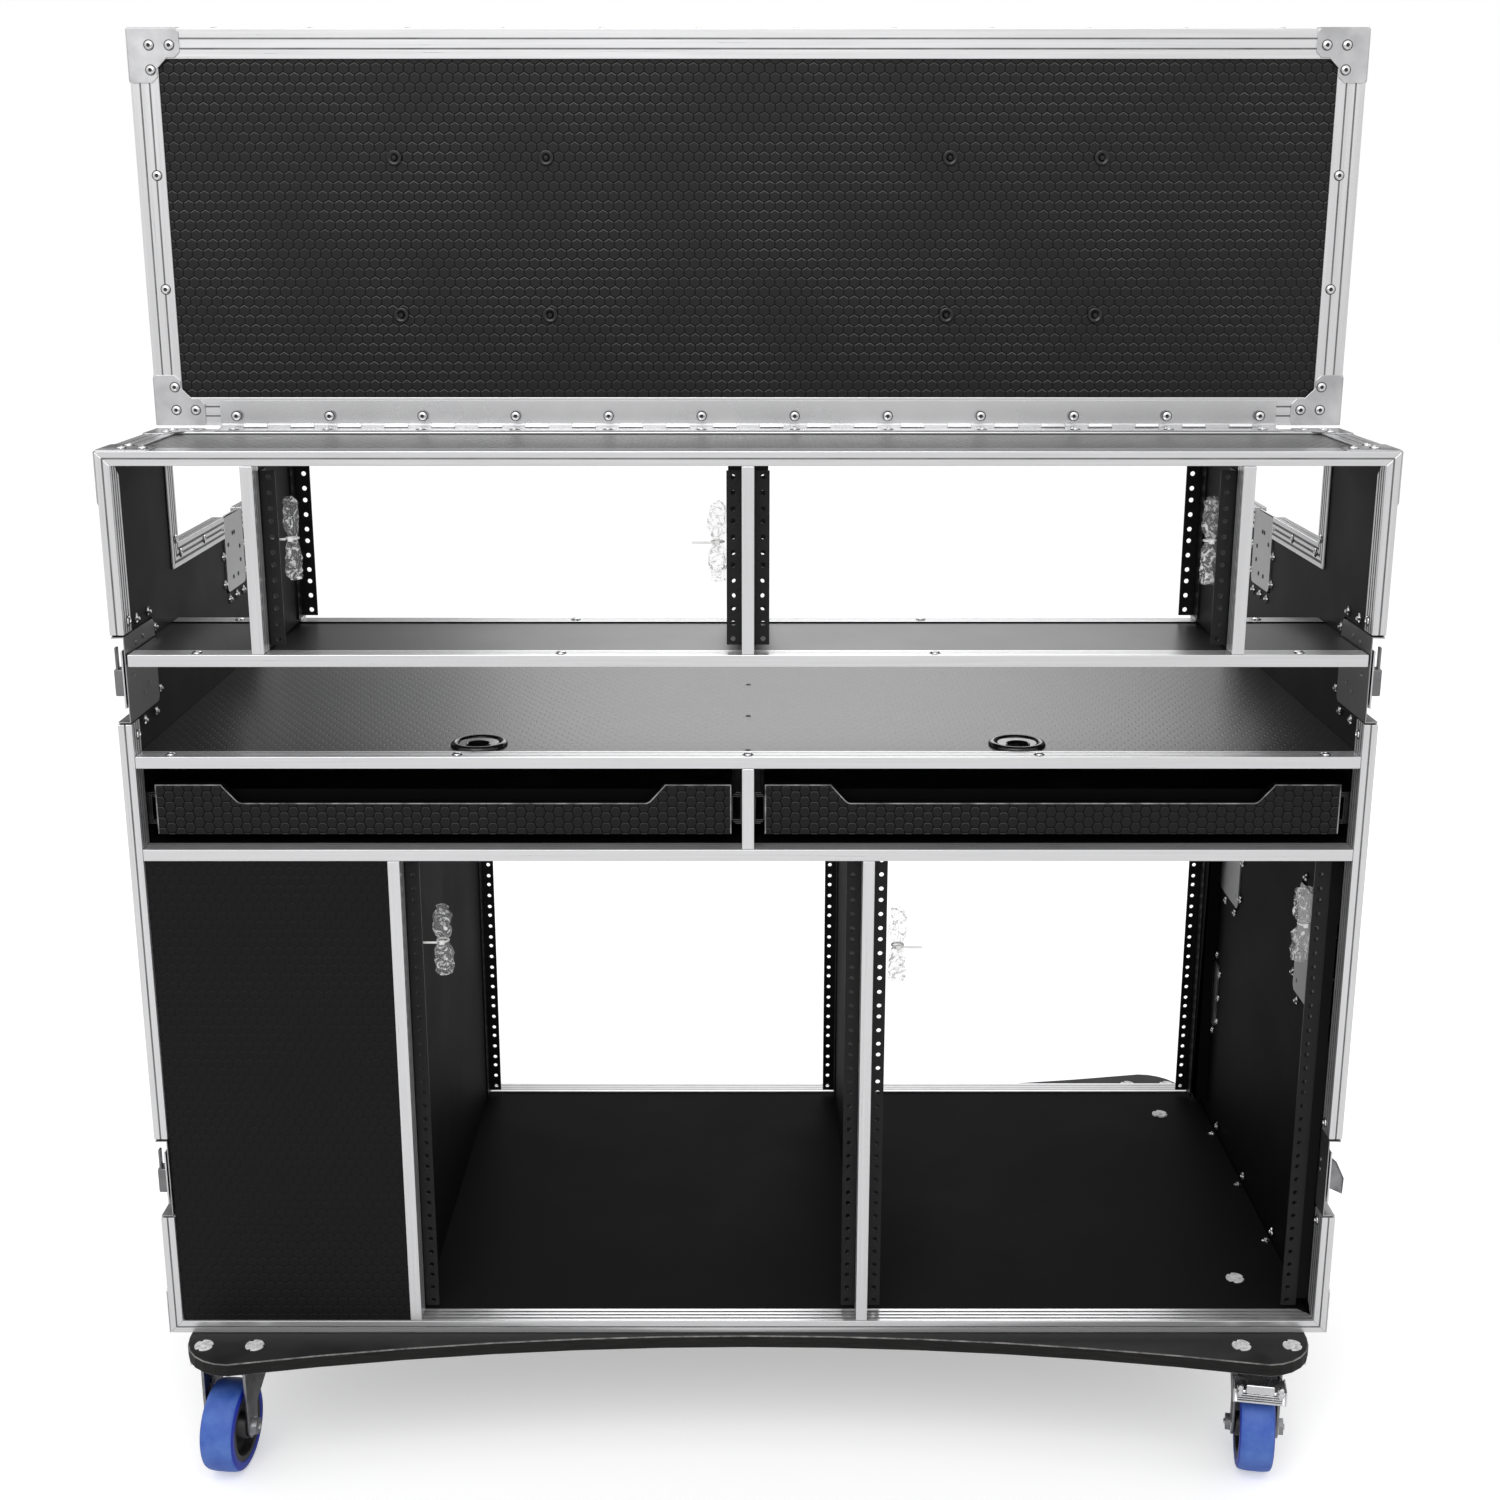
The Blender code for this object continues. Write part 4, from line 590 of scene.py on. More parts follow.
def pressed_dish(side, y_ends, z_ends, open_side):
    """One tray: a pocket with rounded corners and a flange on the wall's outer face."""
    pocket_z = (z_ends[0] + DISH_INSET, z_ends[1] - DISH_INSET)
    pocket = block((side * DISH_FACE, side * 0.6427), y_ends, pocket_z)
    bpy.ops.object.mode_set(mode="EDIT")
    shape = bmesh.from_edit_mesh(pocket.data)
    axis, way = {"front": (1, -1), "rear": (1, 1), "top": (2, 1), "none": (0, side)}[open_side]
    gone = [face for face in shape.faces if face.normal.x * side > 0.9 or face.normal[axis] * way > 0.9]
    bmesh.ops.delete(shape, geom=gone, context="FACES")
    for edge in shape.edges:
        line = (edge.verts[0].co - edge.verts[1].co).normalized()
        edge.select = len(edge.link_faces) == 2 and abs(line.x) > 0.9
    bmesh.update_edit_mesh(pocket.data)
    bpy.ops.mesh.bevel(offset=DISH_CORNER, segments=5, affect="EDGES")
    bpy.ops.object.mode_set(mode="OBJECT")
    applied(pocket, "SOLIDIFY", thickness=DISH_WALL, offset=-1.0)
    dress(pocket, dish_steel, dish_back)
    for face in pocket.data.polygons:
        face.material_index = 1 if face.normal.x * side < -0.9 and open_side != "top" else 0
    flange_y = [y_ends[0] - FLANGE, y_ends[1] + FLANGE]
    flange_z = [z_ends[0] - FLANGE, z_ends[1] + FLANGE]
    hole_y = list(y_ends)
    hole_z = [z_ends[0] + HOLE_INSET, z_ends[1] - HOLE_INSET]
    if open_side == "front":
        flange_y[0] = FRONT + FLANGE_SEAT
        hole_y[0] -= 0.01
    if open_side == "rear":
        flange_y[1] = REAR - FLANGE_SEAT
        hole_y[1] += 0.01
    if open_side == "top":
        flange_z[1] = STEP_TOP - FLANGE_SEAT
        hole_z[1] = z_ends[1] + 0.01
    flange = block((side * (WALL_OUT + 0.0002), side * (WALL_OUT + 0.0014)), flange_y, flange_z)
    bored(flange, [block((side * 0.62, side * 0.66), hole_y, hole_z)])
    dress(flange, dish_steel)
    return [pocket, flange]


painted_hole_shade_and_black_screws = finish("painted_hole_shade_and_black_screws", 0.006, 0.020, (0.5, 0.7), scale=200.0)
RIVET = [(0, 0.5), (1.6, 0.5), (2.0, 2.0), (3.4, 1.8), (4.6, 0.9), (4.8, 0.3), (5.6, 0.2), (5.6, 0), (0, 0)]
rivet = lathed(RIVET, 16, 60.0)
dress(rivet, zinc, painted_hole_shade_and_black_screws)
# The bore of each head and the thin ring round its foot take the near-black finish: painted shade in the bore
# and a painted shadow under the head.
for face in rivet.data.polygons:
    painted_bore_shade = face.center.xy.length < 0.0014 and face.normal.z > 0.5
    face.material_index = 1 if painted_bore_shade or face.center.xy.length > 0.0049 else 0
dimple = lathed([(0, 1.0), (1.2, 0.9), (2.1, 0.5), (2.5, 0), (0, 0)], 12, 60.0)
blind_hole = lathed([(0, 0.4), (2.7, 0.4), (2.8, 0), (0, 0)], 12)
burst = lathed([(0, 4.0), (1.4, 4.0), (2.0, 2.8), (3.6, 2.0), (4.4, 0.7), (4.4, 0), (0, 0)], 16)
for vertex in burst.data.vertices:
    if vertex.co.xy.length > 0.0018:
        petal = 1.0 + 0.36 * math.cos(4 * math.atan2(vertex.co.y, vertex.co.x))
        vertex.co.x *= petal
        vertex.co.y *= petal
rivet_places = []
burst_places = []
dimple_places = []
hole_places = []
HANDLE_MARKS = [(u, v) for u in (0.10, 0.90) for v in (0.12, 0.88)]
TOP_MARKS = [(0.42, 0.74), (0.52, 0.74), (0.78, 0.52), (0.78, 0.34), (0.34, 0.18), (0.60, 0.18), (0.16, 0.62)]
LATCH_MARKS = [(-0.14, 0.84), (0.10, 0.86), (-0.26, 0.62), (-0.26, 0.50), (0.20, 0.30), (0.02, 0.24)]
RIM = 0.0075
for side, hand in SIDES:
    trays = []
    for y_ends, z_ends, open_side in DISHES:
        trays += pressed_dish(side, y_ends, z_ends, open_side)
        long = y_ends[1] - y_ends[0]
        high = z_ends[1] - z_ends[0]
        ys = [y_ends[0] + t * long for t in (0.12, 0.5, 0.88)]
        ys = [y for y in ys if FRONT + 0.034 < y < REAR - 0.034]
        zs = [z_ends[0] + t * high for t in (0.14, 0.5, 0.86)]
        rim = [(y, z_ends[0] - RIM) for y in ys]
        if open_side != "top":
            rim += [(y, z_ends[1] + RIM) for y in ys]
        if open_side != "front":
            rim += [(y_ends[0] - RIM, z) for z in zs]
        if open_side != "rear":
            rim += [(y_ends[1] + RIM, z) for z in zs]
        rivet_places += [((side * 0.6429, y, z), (side, 0, 0)) for y, z in rim]
        burst_places += [((side * WALL_IN, y, z), (-side, 0, 0)) for y, z in rim]
        near = -1 if open_side == "rear" else 1
        marks = {"none": HANDLE_MARKS, "top": TOP_MARKS}.get(open_side)
        for u, v in marks or [(0.5 + near * u, v) for u, v in LATCH_MARKS]:
            spot = (side * DISH_FACE, y_ends[0] + u * long, z_ends[0] + v * high)
            (hole_places if open_side == "top" else dimple_places).append((spot, (-side, 0, 0)))
    gathered(f"dishes_{hand}", trays, "case", None, "zinc", f"side_panel_{hand}")

# Edging: extruded aluminium over every rim of the case. Each leg has fine grooves along it, and its ends
# are cut to meet at the corners.
LEG = 0.030
INNER_LEG = 0.026
METAL = 0.0022
EDGE_FACE = 0.0145
EDGE_IN = 0.6295
ALUMINIUM = ((0.72, 0.72, 0.73), (0.79, 0.79, 0.80), (0.27, 0.35))
extrusions = []
for along, axis in enumerate("xyz"):
    grain = [26.0, 26.0, 26.0]
    grain[along] = 0.35
    extrusions.append(finish(f"aluminium_along_{axis}", *ALUMINIUM, tuple(grain), 18.0, 0.03, metallic=0.72))
# This dark finish on the groove walls is painted shade in the grooves.
groove_painted_shade = finish("groove_painted_shade", 0.13, 0.24, (0.45, 0.60), scale=30.0, metallic=0.6)


def grooved(points):
    """A closed outline with fine V grooves; each point gives how many follow it and their half width."""
    ring = points[1:] + points[:1]
    area = sum(a[0] * b[1] - b[0] * a[1] for a, b in zip(points, ring))
    outline = []
    for (across, deep, count, *wide), (next_across, next_deep, *_) in zip(points, ring):
        start = Vector((across, deep))
        line = Vector((next_across - across, next_deep - deep))
        inward = Vector((-line.y, line.x)).normalized() * math.copysign(0.0006, area)
        outline.append(start)
        for index in range(count):
            centre = start + line * (index + 1) / (count + 1)
            step = line.normalized() * (wide[0] if wide else 0.0009)
            outline += [centre - step, centre + inward, centre + step]
    return outline


OUTER = [(0, 0, 1), (EDGE_FACE, 0, 3, 0.0015), (EDGE_FACE, INNER_LEG, 0), (EDGE_FACE - METAL, INNER_LEG, 0)]
CHANNEL = grooved(OUTER + [(EDGE_FACE - METAL, METAL, 0), (METAL, METAL, 0), (METAL, LEG, 0), (0, LEG, 2)])
ANGLE = grooved([(0, 0, 2), (LEG, 0, 0), (LEG, METAL, 0), (METAL, METAL, 0), (METAL, LEG, 0), (0, LEG, 2)])


def extruded(points, shift):
    """A flat outline drawn out by a shift, left in Edit Mode with its far end selected."""
    bpy.ops.object.select_all(action="DESELECT")
    bpy.ops.mesh.primitive_circle_add(vertices=len(points), radius=1.0, fill_type="NGON")
    piece = bpy.context.object
    for vertex, point in zip(piece.data.vertices, points):
        vertex.co = point
    bpy.ops.object.mode_set(mode="EDIT")
    bpy.ops.mesh.select_all(action="SELECT")
    bpy.ops.mesh.extrude_region_move(TRANSFORM_OT_translate={"value": shift})
    return piece


def drawn(along, ends, thick, deep, outline, cuts=()):
    """A length of drawn aluminium. Thick and deep give an axis, the outer corner on it and the way inwards.

    Each cut mitres one end, 0 or 1, over one axis: 1 for a corner that stands out and -1 for one that
    goes in.
    """
    reach = list(ends)
    for end, _, kind in cuts:
        if kind == -1:
            reach[end] += LEG if end else -LEG
    points = []
    for across, inwards in outline:
        place = Vector((0, 0, 0))
        place[along] = reach[0]
        place[thick[0]] = thick[1] + thick[2] * across
        place[deep[0]] = deep[1] + deep[2] * inwards
        points.append(place)
    shift = [0, 0, 0]
    shift[along] = reach[1] - reach[0]
    piece = extruded(points, shift)
    for end, over, kind in cuts:
        corner = Vector((0, 0, 0))
        corner[along] = ends[end]
        normal = Vector((0, 0, 0))
        normal[along] = -1 if end else 1
        for axis, value, way in (thick, deep):
            corner[axis] = value
            if axis == over:
                normal[axis] = -kind * way
        bpy.ops.mesh.select_all(action="SELECT")
        bpy.ops.mesh.bisect(plane_co=corner, plane_no=normal, clear_inner=True, use_fill=True)
    closed(piece)
    dress(piece, extrusions[along], groove_painted_shade)
    # The slanted walls of each groove take the dark second finish: painted shade.
    for face in piece.data.polygons:
        slanted = max(abs(part) for part in face.normal) < 0.95
        face.material_index = 1 if slanted and abs(face.normal[along]) < 0.1 else 0
    return soften(piece, 0.0007, 2, 62.0)


def both_ends(first, second):
    """Mitres at both ends over two axes."""
    return [(end, over, 1) for end in (0, 1) for over in (first, second)]


across_case = (-HALF_WIDTH, HALF_WIDTH)
front_edge = (1, FRONT, 1)
rear_edge = (1, REAR, -1)
hinge_edge = (1, HINGE_Y, -1)
top_edge = (2, BODY_TOP, -1)
step_edge = (2, STEP_TOP, -1)
foot_edge = (2, BODY_BOTTOM, 1)
upper_bars = []
lower_bars = []
for side, hand in SIDES:
    wall_face = (0, side * HALF_WIDTH, -side)
    corner_cuts = [(1, 0, 1), (1, 1, 1)]
    upper_bars += [
        drawn(2, (UPPER_LATCH[1], BODY_TOP), wall_face, front_edge, CHANNEL, corner_cuts),
        drawn(1, (FRONT, HINGE_Y), wall_face, top_edge, ANGLE, both_ends(0, 2)),
        drawn(2, (STEP_TOP, BODY_TOP), wall_face, hinge_edge, CHANNEL, corner_cuts + [(0, 1, -1)]),
        drawn(1, (HINGE_Y, LID_LATCH_Y[0]), wall_face, step_edge, CHANNEL, [(0, 2, -1)]),
    ]
    for edge in (front_edge, rear_edge):
        post = (BODY_BOTTOM, LOWER_LATCH[0])
        lower_bars.append(drawn(2, post, wall_face, edge, CHANNEL, [(0, 0, 1), (0, 1, 1)]))
    lower_bars.append(drawn(1, (FRONT, REAR), wall_face, foot_edge, ANGLE, both_ends(0, 2)))
    loose = [
        drawn(2, (LOWER_LATCH[1], UPPER_LATCH[0]), wall_face, front_edge, CHANNEL),
        drawn(2, (LOWER_LATCH[1], UPPER_LATCH[0]), wall_face, rear_edge, CHANNEL),
        drawn(2, (UPPER_LATCH[1], STEP_TOP), wall_face, rear_edge, CHANNEL, [(1, 1, 1)]),
        drawn(1, (LID_LATCH_Y[1], REAR), wall_face, step_edge, CHANNEL, [(1, 2, 1)]),
    ]
    gathered(f"loose_edging_{hand}", loose, "case", None, "aluminium", f"side_panel_{hand}")
for bars, level, back_edge in ((upper_bars, top_edge, hinge_edge), (lower_bars, foot_edge, rear_edge)):
    bars += [drawn(0, across_case, level, edge, CHANNEL, both_ends(1, 2)) for edge in (front_edge, back_edge)]
gathered("upper_edging_grooved", upper_bars, "case", None, "aluminium", "upper_edging")
gathered("lower_edging_grooved", lower_bars, "case", None, "aluminium", "lower_edging")

# Floor, top panel and the storage front: plywood sheets with the same laminate, and caster bolts on
# the floor. The lid's panel wears it too.
# The top panel is the same black laminate, toned far paler as painted sheen, with a near-white painted
# highlight.
hex_flat_painted_sheen = hex_laminate("hex_laminate_flat_painted_sheen", 0, 1, (0.045, 0.095, 0.75), level=0.6, rough=0.30)
hex_front = hex_laminate("hex_laminate_front", 0, 2, (0.0008, 0.0125, 0.100))
STORAGE_TONES = (0.0030, 0.0066, 0.013)
hex_storage = hex_laminate("hex_laminate_storage", 0, 2, STORAGE_TONES, level=0.13, rough=0.5, relief=0.45)
# The floor takes the darker copy of the laminate as painted shade.
for node, look in (
    ("base_panel", shaded_bay_black),
    ("top_panel", hex_flat_painted_sheen),
    ("storage_front_panel", hex_storage),
    ("lid_panel", hex_front),
):
    dress(frame["nodes"][node], look)
FLOOR_TOP = BODY_BOTTOM + 0.012
floor_nuts = set_at(prong_head, [((x * 0.565, y * 0.215, FLOOR_TOP), UP) for x, y in CORNERS])
gathered("floor_nuts", floor_nuts, "case", nut_zinc, "zinc")
discard(prong_head)

# Rack shelf, desk and drawer deck: smooth black boards with an aluminium cap on each open edge. The cap
# wraps the board, and two lines run along its top leg.
CAP_FACE = 0.0125
CAP_LEG = 0.024
SHELF_TOP = 0.9233
DESK_TOP = 0.8163
DECK_TOP = 0.7163
SHELF_REAR = FRONT + 0.194
DISH_IN = 0.6285
FIT = 0.0003
CAP = grooved([(0, 0, 0), (CAP_FACE, 0, 2), (CAP_FACE, CAP_LEG, 0), (0, CAP_LEG, 3)])
hex_desk = hex_laminate("hex_laminate_desk", 0, 1, (0.017, 0.010, 0.090), level=0.55, rough=0.30, relief=0.20)
SHELF_TONES = ((0.009, 0.009, 0.0092), (0.011, 0.011, 0.0112))
shelf_black = finish("shelf_black_laminate", *SHELF_TONES, (0.34, 0.38), scale=9.0, level=0.45)
# The drawer deck takes the darker copy of the laminate as painted shade.
for node, look, top, y_ends, front_half, rear_half in (
    ("rack_shelf", shelf_black, SHELF_TOP, (FRONT, SHELF_REAR), DISH_IN - FIT, WALL_IN - FIT),
    ("desk_panel", hex_desk, DESK_TOP, (FRONT, REAR), EDGE_IN - FIT, EDGE_IN - FIT),
    ("drawer_deck", shaded_bay_black, DECK_TOP, (FRONT, REAR), EDGE_IN - FIT, EDGE_IN - FIT),
):
    sheet = copy_of(node, f"{node}_sheet", "laminate_black", look)
    bpy.ops.object.mode_set(mode="EDIT")
    for cut_y, front in ((y_ends[0] + CAP_LEG - 0.001, True), (y_ends[1] - CAP_LEG + 0.001, False)):
        cut = {"plane_co": (0, cut_y, 0), "plane_no": (0, 1, 0), "use_fill": True}
        bpy.ops.mesh.select_all(action="SELECT")
        bpy.ops.mesh.bisect(clear_inner=front, clear_outer=not front, **cut)
    bpy.ops.object.mode_set(mode="OBJECT")
    caps = [
        drawn(0, (-front_half, front_half), (2, top, -1), (1, y_ends[0], 1), CAP),
        drawn(0, (-rear_half, rear_half), (2, top, -1), (1, y_ends[1], -1), CAP),
    ]
    gathered(f"{node}_caps", caps, "case", None, "aluminium", node)
for x in (-0.56, -0.19, 0.19, 0.56):
    rivet_places += [((x, y, SHELF_TOP), UP) for y in (FRONT + 0.010, SHELF_REAR - 0.012)]
rivet_places += [((x, FRONT + 0.010, DESK_TOP), UP) for x in (-0.595, -0.30, 0.0, 0.30, 0.595)]

# Cable grommets in the desk: glossy black plastic, a thick rounded rim and a flat cap with a round
# cable slot towards the user.
grommet_plastic = finish("grommet_plastic", 0.006, 0.010, (0.10, 0.20), scale=80.0)
SLOT = 11.2
GROMMET_RIM = [(21.6, 1.2), (22.6, 3.0), (24.6, 4.1), (27.0, 4.0), (29.0, 2.8), (30.0, 1.2), (30.0, 0)]
GROMMET_RIM += [(25.8, -0.5), (25.6, -19.0), (21.8, -19.0), (21.4, -1.0)]
forward = Matrix.Translation((0.0, -0.0075, 0.0))
for hand, x in (("left", -0.283), ("right", 0.283)):
    rim_ring = lathed(GROMMET_RIM, 48, 50.0)
    cap = lathed([(0, 2.2), (20.4, 2.2), (21.3, 1.5), (21.3, 0), (0, 0)], 40)
    hole = lathed([(0, 20.0), (SLOT, 20.0), (SLOT, -20.0), (0, -20.0)], 28)
    hole.data.transform(forward)
    bored(cap, [hole])
    lip = [(SLOT, 0.4), (SLOT, 3.0), (SLOT + 0.8, 3.4), (SLOT + 1.6, 3.0), (SLOT + 1.8, 0.4)]
    lip = lathed(lip, 28, 50.0)
    lip.data.transform(forward)
    pieces = [rim_ring, cap, lip]
    grommet = gathered(f"moulded_grommet_{hand}", pieces, "case", grommet_plastic, "grommet_black")
    grommet.data.transform(Matrix.Translation((x, FRONT + 0.055, DESK_TOP - 0.0012)))
    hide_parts(f"grommet_{hand}")

# Dividers: black panels with aluminium caps, and black steel rack rails drilled at the standard rack
# pitch on the bay sides.
rail_steel = finish("rail_steel", 0.006, 0.010, (0.36, 0.48), scale=60.0, relief=0.04, level=0.25)
HOLE_RADIUS = 0.0026
UNIT = 0.04445
HOLE_DROPS = (0.00635, 0.022225, 0.0381)
COLUMNS = 0.4651
BAY = 0.4861
PANEL = 0.0095
RAIL_FLANGE = 0.017
RAIL_LEG = 0.026
RAIL_WALL = 0.002


def rack_rail(face_x, toward, top, units, y_flange, inward):
    """One drilled L rail: a unit of flange with three round holes, repeated, and the leg along the panel."""
    column = face_x + toward * (BAY - COLUMNS) / 2
    back = y_flange + RAIL_WALL
    flange = block((face_x, face_x + toward * RAIL_FLANGE), (y_flange, back), (top - UNIT, top))
    pegs = []
    for drop in HOLE_DROPS:
        bpy.ops.object.select_all(action="DESELECT")
        spot = {"location": (column, y_flange, top - drop), "rotation": (math.pi / 2, 0, 0)}
        bpy.ops.mesh.primitive_cylinder_add(vertices=14, radius=HOLE_RADIUS, depth=0.02, **spot)
        bpy.ops.object.transform_apply(location=True, rotation=True, scale=True)
        pegs.append(bpy.context.object)
    bored(flange, pegs)
    repeat = {"use_relative_offset": False, "use_constant_offset": True}
    repeat["constant_offset_displace"] = (0, 0, -UNIT)
    applied(flange, "ARRAY", count=units, use_merge_vertices=True, merge_threshold=0.00002, **repeat)
    leg_y = (y_flange, y_flange + RAIL_LEG) if inward == 1 else (back, back - RAIL_LEG)
    leg = block((face_x, face_x + toward * RAIL_WALL), leg_y, (top - units * UNIT, top))
    return [flange, leg]


RAIL_FRONT = FRONT + 0.028
RAIL_REAR = REAR - 0.030
UPPER_RAIL_TOP = BODY_TOP - 0.0224
LOWER_RAIL_TOP = BODY_TOP - 0.4266
LOWER_UNITS = 12
PITCH = BAY + PANEL
LOWER_X = -0.3696
upper_z = (SHELF_TOP + FIT, BODY_TOP - EDGE_FACE - FIT)
lower_z = (BODY_BOTTOM + EDGE_FACE + FIT, DECK_TOP - CAP_FACE - FIT)
drawer_z = (DECK_TOP + FIT, DESK_TOP - CAP_FACE - FIT)
upper = (wall_black, upper_z, SHELF_REAR, UPPER_RAIL_TOP, 4, (RAIL_FRONT, SHELF_REAR - 0.012))
# The lower and drawer dividers take the darker copy of the laminate as painted shade.
lower = (shaded_bay_black, lower_z, REAR, LOWER_RAIL_TOP, LOWER_UNITS, (RAIL_FRONT, RAIL_REAR))
between = (shaded_bay_black, drawer_z, FRONT + 0.500, 0, 0, ())
for node, x, ways, (look, z_ends, rear, top, units, flanges) in (
    ("upper_divider_left", -PITCH, (1,), upper),
    ("upper_divider_centre", 0.0, (-1, 1), upper),
    ("upper_divider_right", PITCH, (-1,), upper),
    ("lower_divider_left", LOWER_X, (1,), lower),
    ("lower_divider_right", LOWER_X + PITCH, (-1, 1), lower),
    ("drawer_divider", 0.0, (), between),
):
    sheet = block((x - PANEL / 2, x + PANEL / 2), (FRONT + 0.001, rear - 0.001), z_ends)
    gathered(f"{node}_sheet", [soften(sheet, 0.0003, 1)], "case", look, "divider_black", node)
    cap_side = (0, x - CAP_FACE / 2, 1)
    caps = [drawn(2, z_ends, cap_side, edge, CAP) for edge in (front_edge, (1, rear, -1))]
    gathered(f"{node}_caps", caps, "case", None, "aluminium", node)
    rails = []
    for way in ways:
        for y_flange, inward in zip(flanges, (1, -1)):
            rails += rack_rail(x + way * PANEL / 2, way, top, units, y_flange, inward)
    if rails:
        gathered(f"{node}_rails", rails, "case", rail_steel, "divider_black", node)

# Wall spacers: plywood packers on the right wall that bring the last rails to the bay's width, with
# those rails on them.
SPACER_X = LOWER_X + PITCH + PANEL / 2 + BAY
for place, y_flange, inward in (("front", RAIL_FRONT, 1), ("rear", RAIL_REAR, -1)):
    node = f"wall_spacer_{place}"
    # The packers take the darker copy of the laminate as painted shade.
    packer = copy_of(node, f"wall_packer_{place}", "divider_black", shaded_bay_black)
    bpy.ops.object.mode_set(mode="EDIT")
    bpy.ops.mesh.select_all(action="SELECT")
    cut = {"plane_co": (SPACER_X + 0.0001, 0, 0), "plane_no": (1, 0, 0), "use_fill": True}
    bpy.ops.mesh.bisect(clear_inner=True, **cut)
    bpy.ops.object.mode_set(mode="OBJECT")
    rails = rack_rail(SPACER_X, -1, LOWER_RAIL_TOP, LOWER_UNITS, y_flange, inward)
    gathered(f"wall_spacer_rails_{place}", rails, "case", rail_steel, "divider_black", node)

# Drawers: laminated fronts cut down in the middle, plywood trays behind, and zinc ball-bearing slides
# on both sides.
DRAWER_TONES = (0.0008, 0.0105, 0.060)
hex_drawer = hex_laminate("hex_laminate_drawer", 0, 2, DRAWER_TONES, level=0.15, relief=1.0, turned=True)
drawer_black = finish("drawer_black_ply", 0.0022, 0.0032, (0.6, 0.75), scale=18.0, level=0.04)
# A pale ring round the top and sides of each front is a painted highlight along its rim.
drawer_rim_painted_highlight = finish("drawer_rim_painted_highlight", 0.035, 0.36, (0.45, 0.6), scale=70.0)
SLIDE_TONES = ((0.05, 0.05, 0.052), (0.11, 0.11, 0.112))
slide_steel = finish("slide_steel", *SLIDE_TONES, (0.3, 0.45), scale=50.0, metallic=0.9)
drawer_looks = (drawer_black, hex_drawer, drawer_rim_painted_highlight, slide_steel)
DRAWER_FACE = FRONT + 0.0161
for side, hand in SIDES:
    drawer = copy_of(f"drawer_{hand}", f"laminated_drawer_{hand}", "laminate_black", *drawer_looks)
    soften(drawer, 0.0012, 1, 60.0)
    for face in drawer.data.polygons:
        face.select = face.center.y < DRAWER_FACE and face.normal.y < -0.9
    bpy.ops.object.mode_set(mode="EDIT")
    bpy.ops.mesh.select_mode(type="FACE")
    bpy.ops.mesh.inset(thickness=0.0012, depth=0.0)
    bpy.ops.object.mode_set(mode="OBJECT")
    # The inset leaves a ring round the front; its top and sides take the pale finish as a painted highlight,
    # its lower edge stays dark.
    for face in drawer.data.polygons:
        x, y, z = face.center
        if y < DRAWER_FACE and face.normal.y < -0.9:
            face.material_index = 1 if face.select or z < 0.730 else 2
        elif abs(x) < 0.0175 or abs(x) > 0.6168:
            face.material_index = 3
    for end in ("inner", "outer"):
        dress(frame["nodes"][f"slide_{hand}_{end}"], slide_steel)

# Outer slide members: zinc channels screwed to the walls and to the drawer divider, in which the
# drawers' middle members run.
SLIDE_Z = 0.7513
SLIDE_SEAT = 0.6292
SLIDE_HALF = 0.0175
slide_y = (FRONT + 0.034, FRONT + 0.464)
for name, wall_x, toward, sunk, node in (
    ("fixed_slide_left_wall", -SLIDE_SEAT, 1, 0.0028, "side_panel_left"),
    ("fixed_slide_right_wall", SLIDE_SEAT, -1, 0.0028, "side_panel_right"),
    ("fixed_slide_left_divider", -PANEL / 2, -1, 0.0001, "drawer_divider"),
    ("fixed_slide_right_divider", PANEL / 2, 1, 0.0001, "drawer_divider"),
):
    web_x = (wall_x - toward * sunk, wall_x + toward * 0.0012)
    channel = [rounded(web_x, slide_y, about(SLIDE_Z, SLIDE_HALF), 0.0004)]
    for way in (-1, 1):
        lip_z = (SLIDE_Z + way * SLIDE_HALF, SLIDE_Z + way * 0.0163)
        channel.append(rounded((wall_x, wall_x + toward * 0.0087), slide_y, lip_z, 0.0004))
    gathered(name, channel, "case", slide_steel, "zinc", node)

# Piano hinge between the top panel and the lid: two zinc leaves with rolled knuckles, riveted through
# the panel and the lid's foot.
LEAF_TONES = ((0.70, 0.70, 0.71), (0.80, 0.80, 0.81))
leaf_zinc = finish("smooth_leaf_zinc", *LEAF_TONES, (0.22, 0.30), scale=5.0, metallic=0.95)
for node in ("hinge_upper_leaf", "hinge_lower_leaf"):
    soften(copy_of(node, f"zinc_{node}", "zinc", leaf_zinc), 0.0003, 1, 40.0)

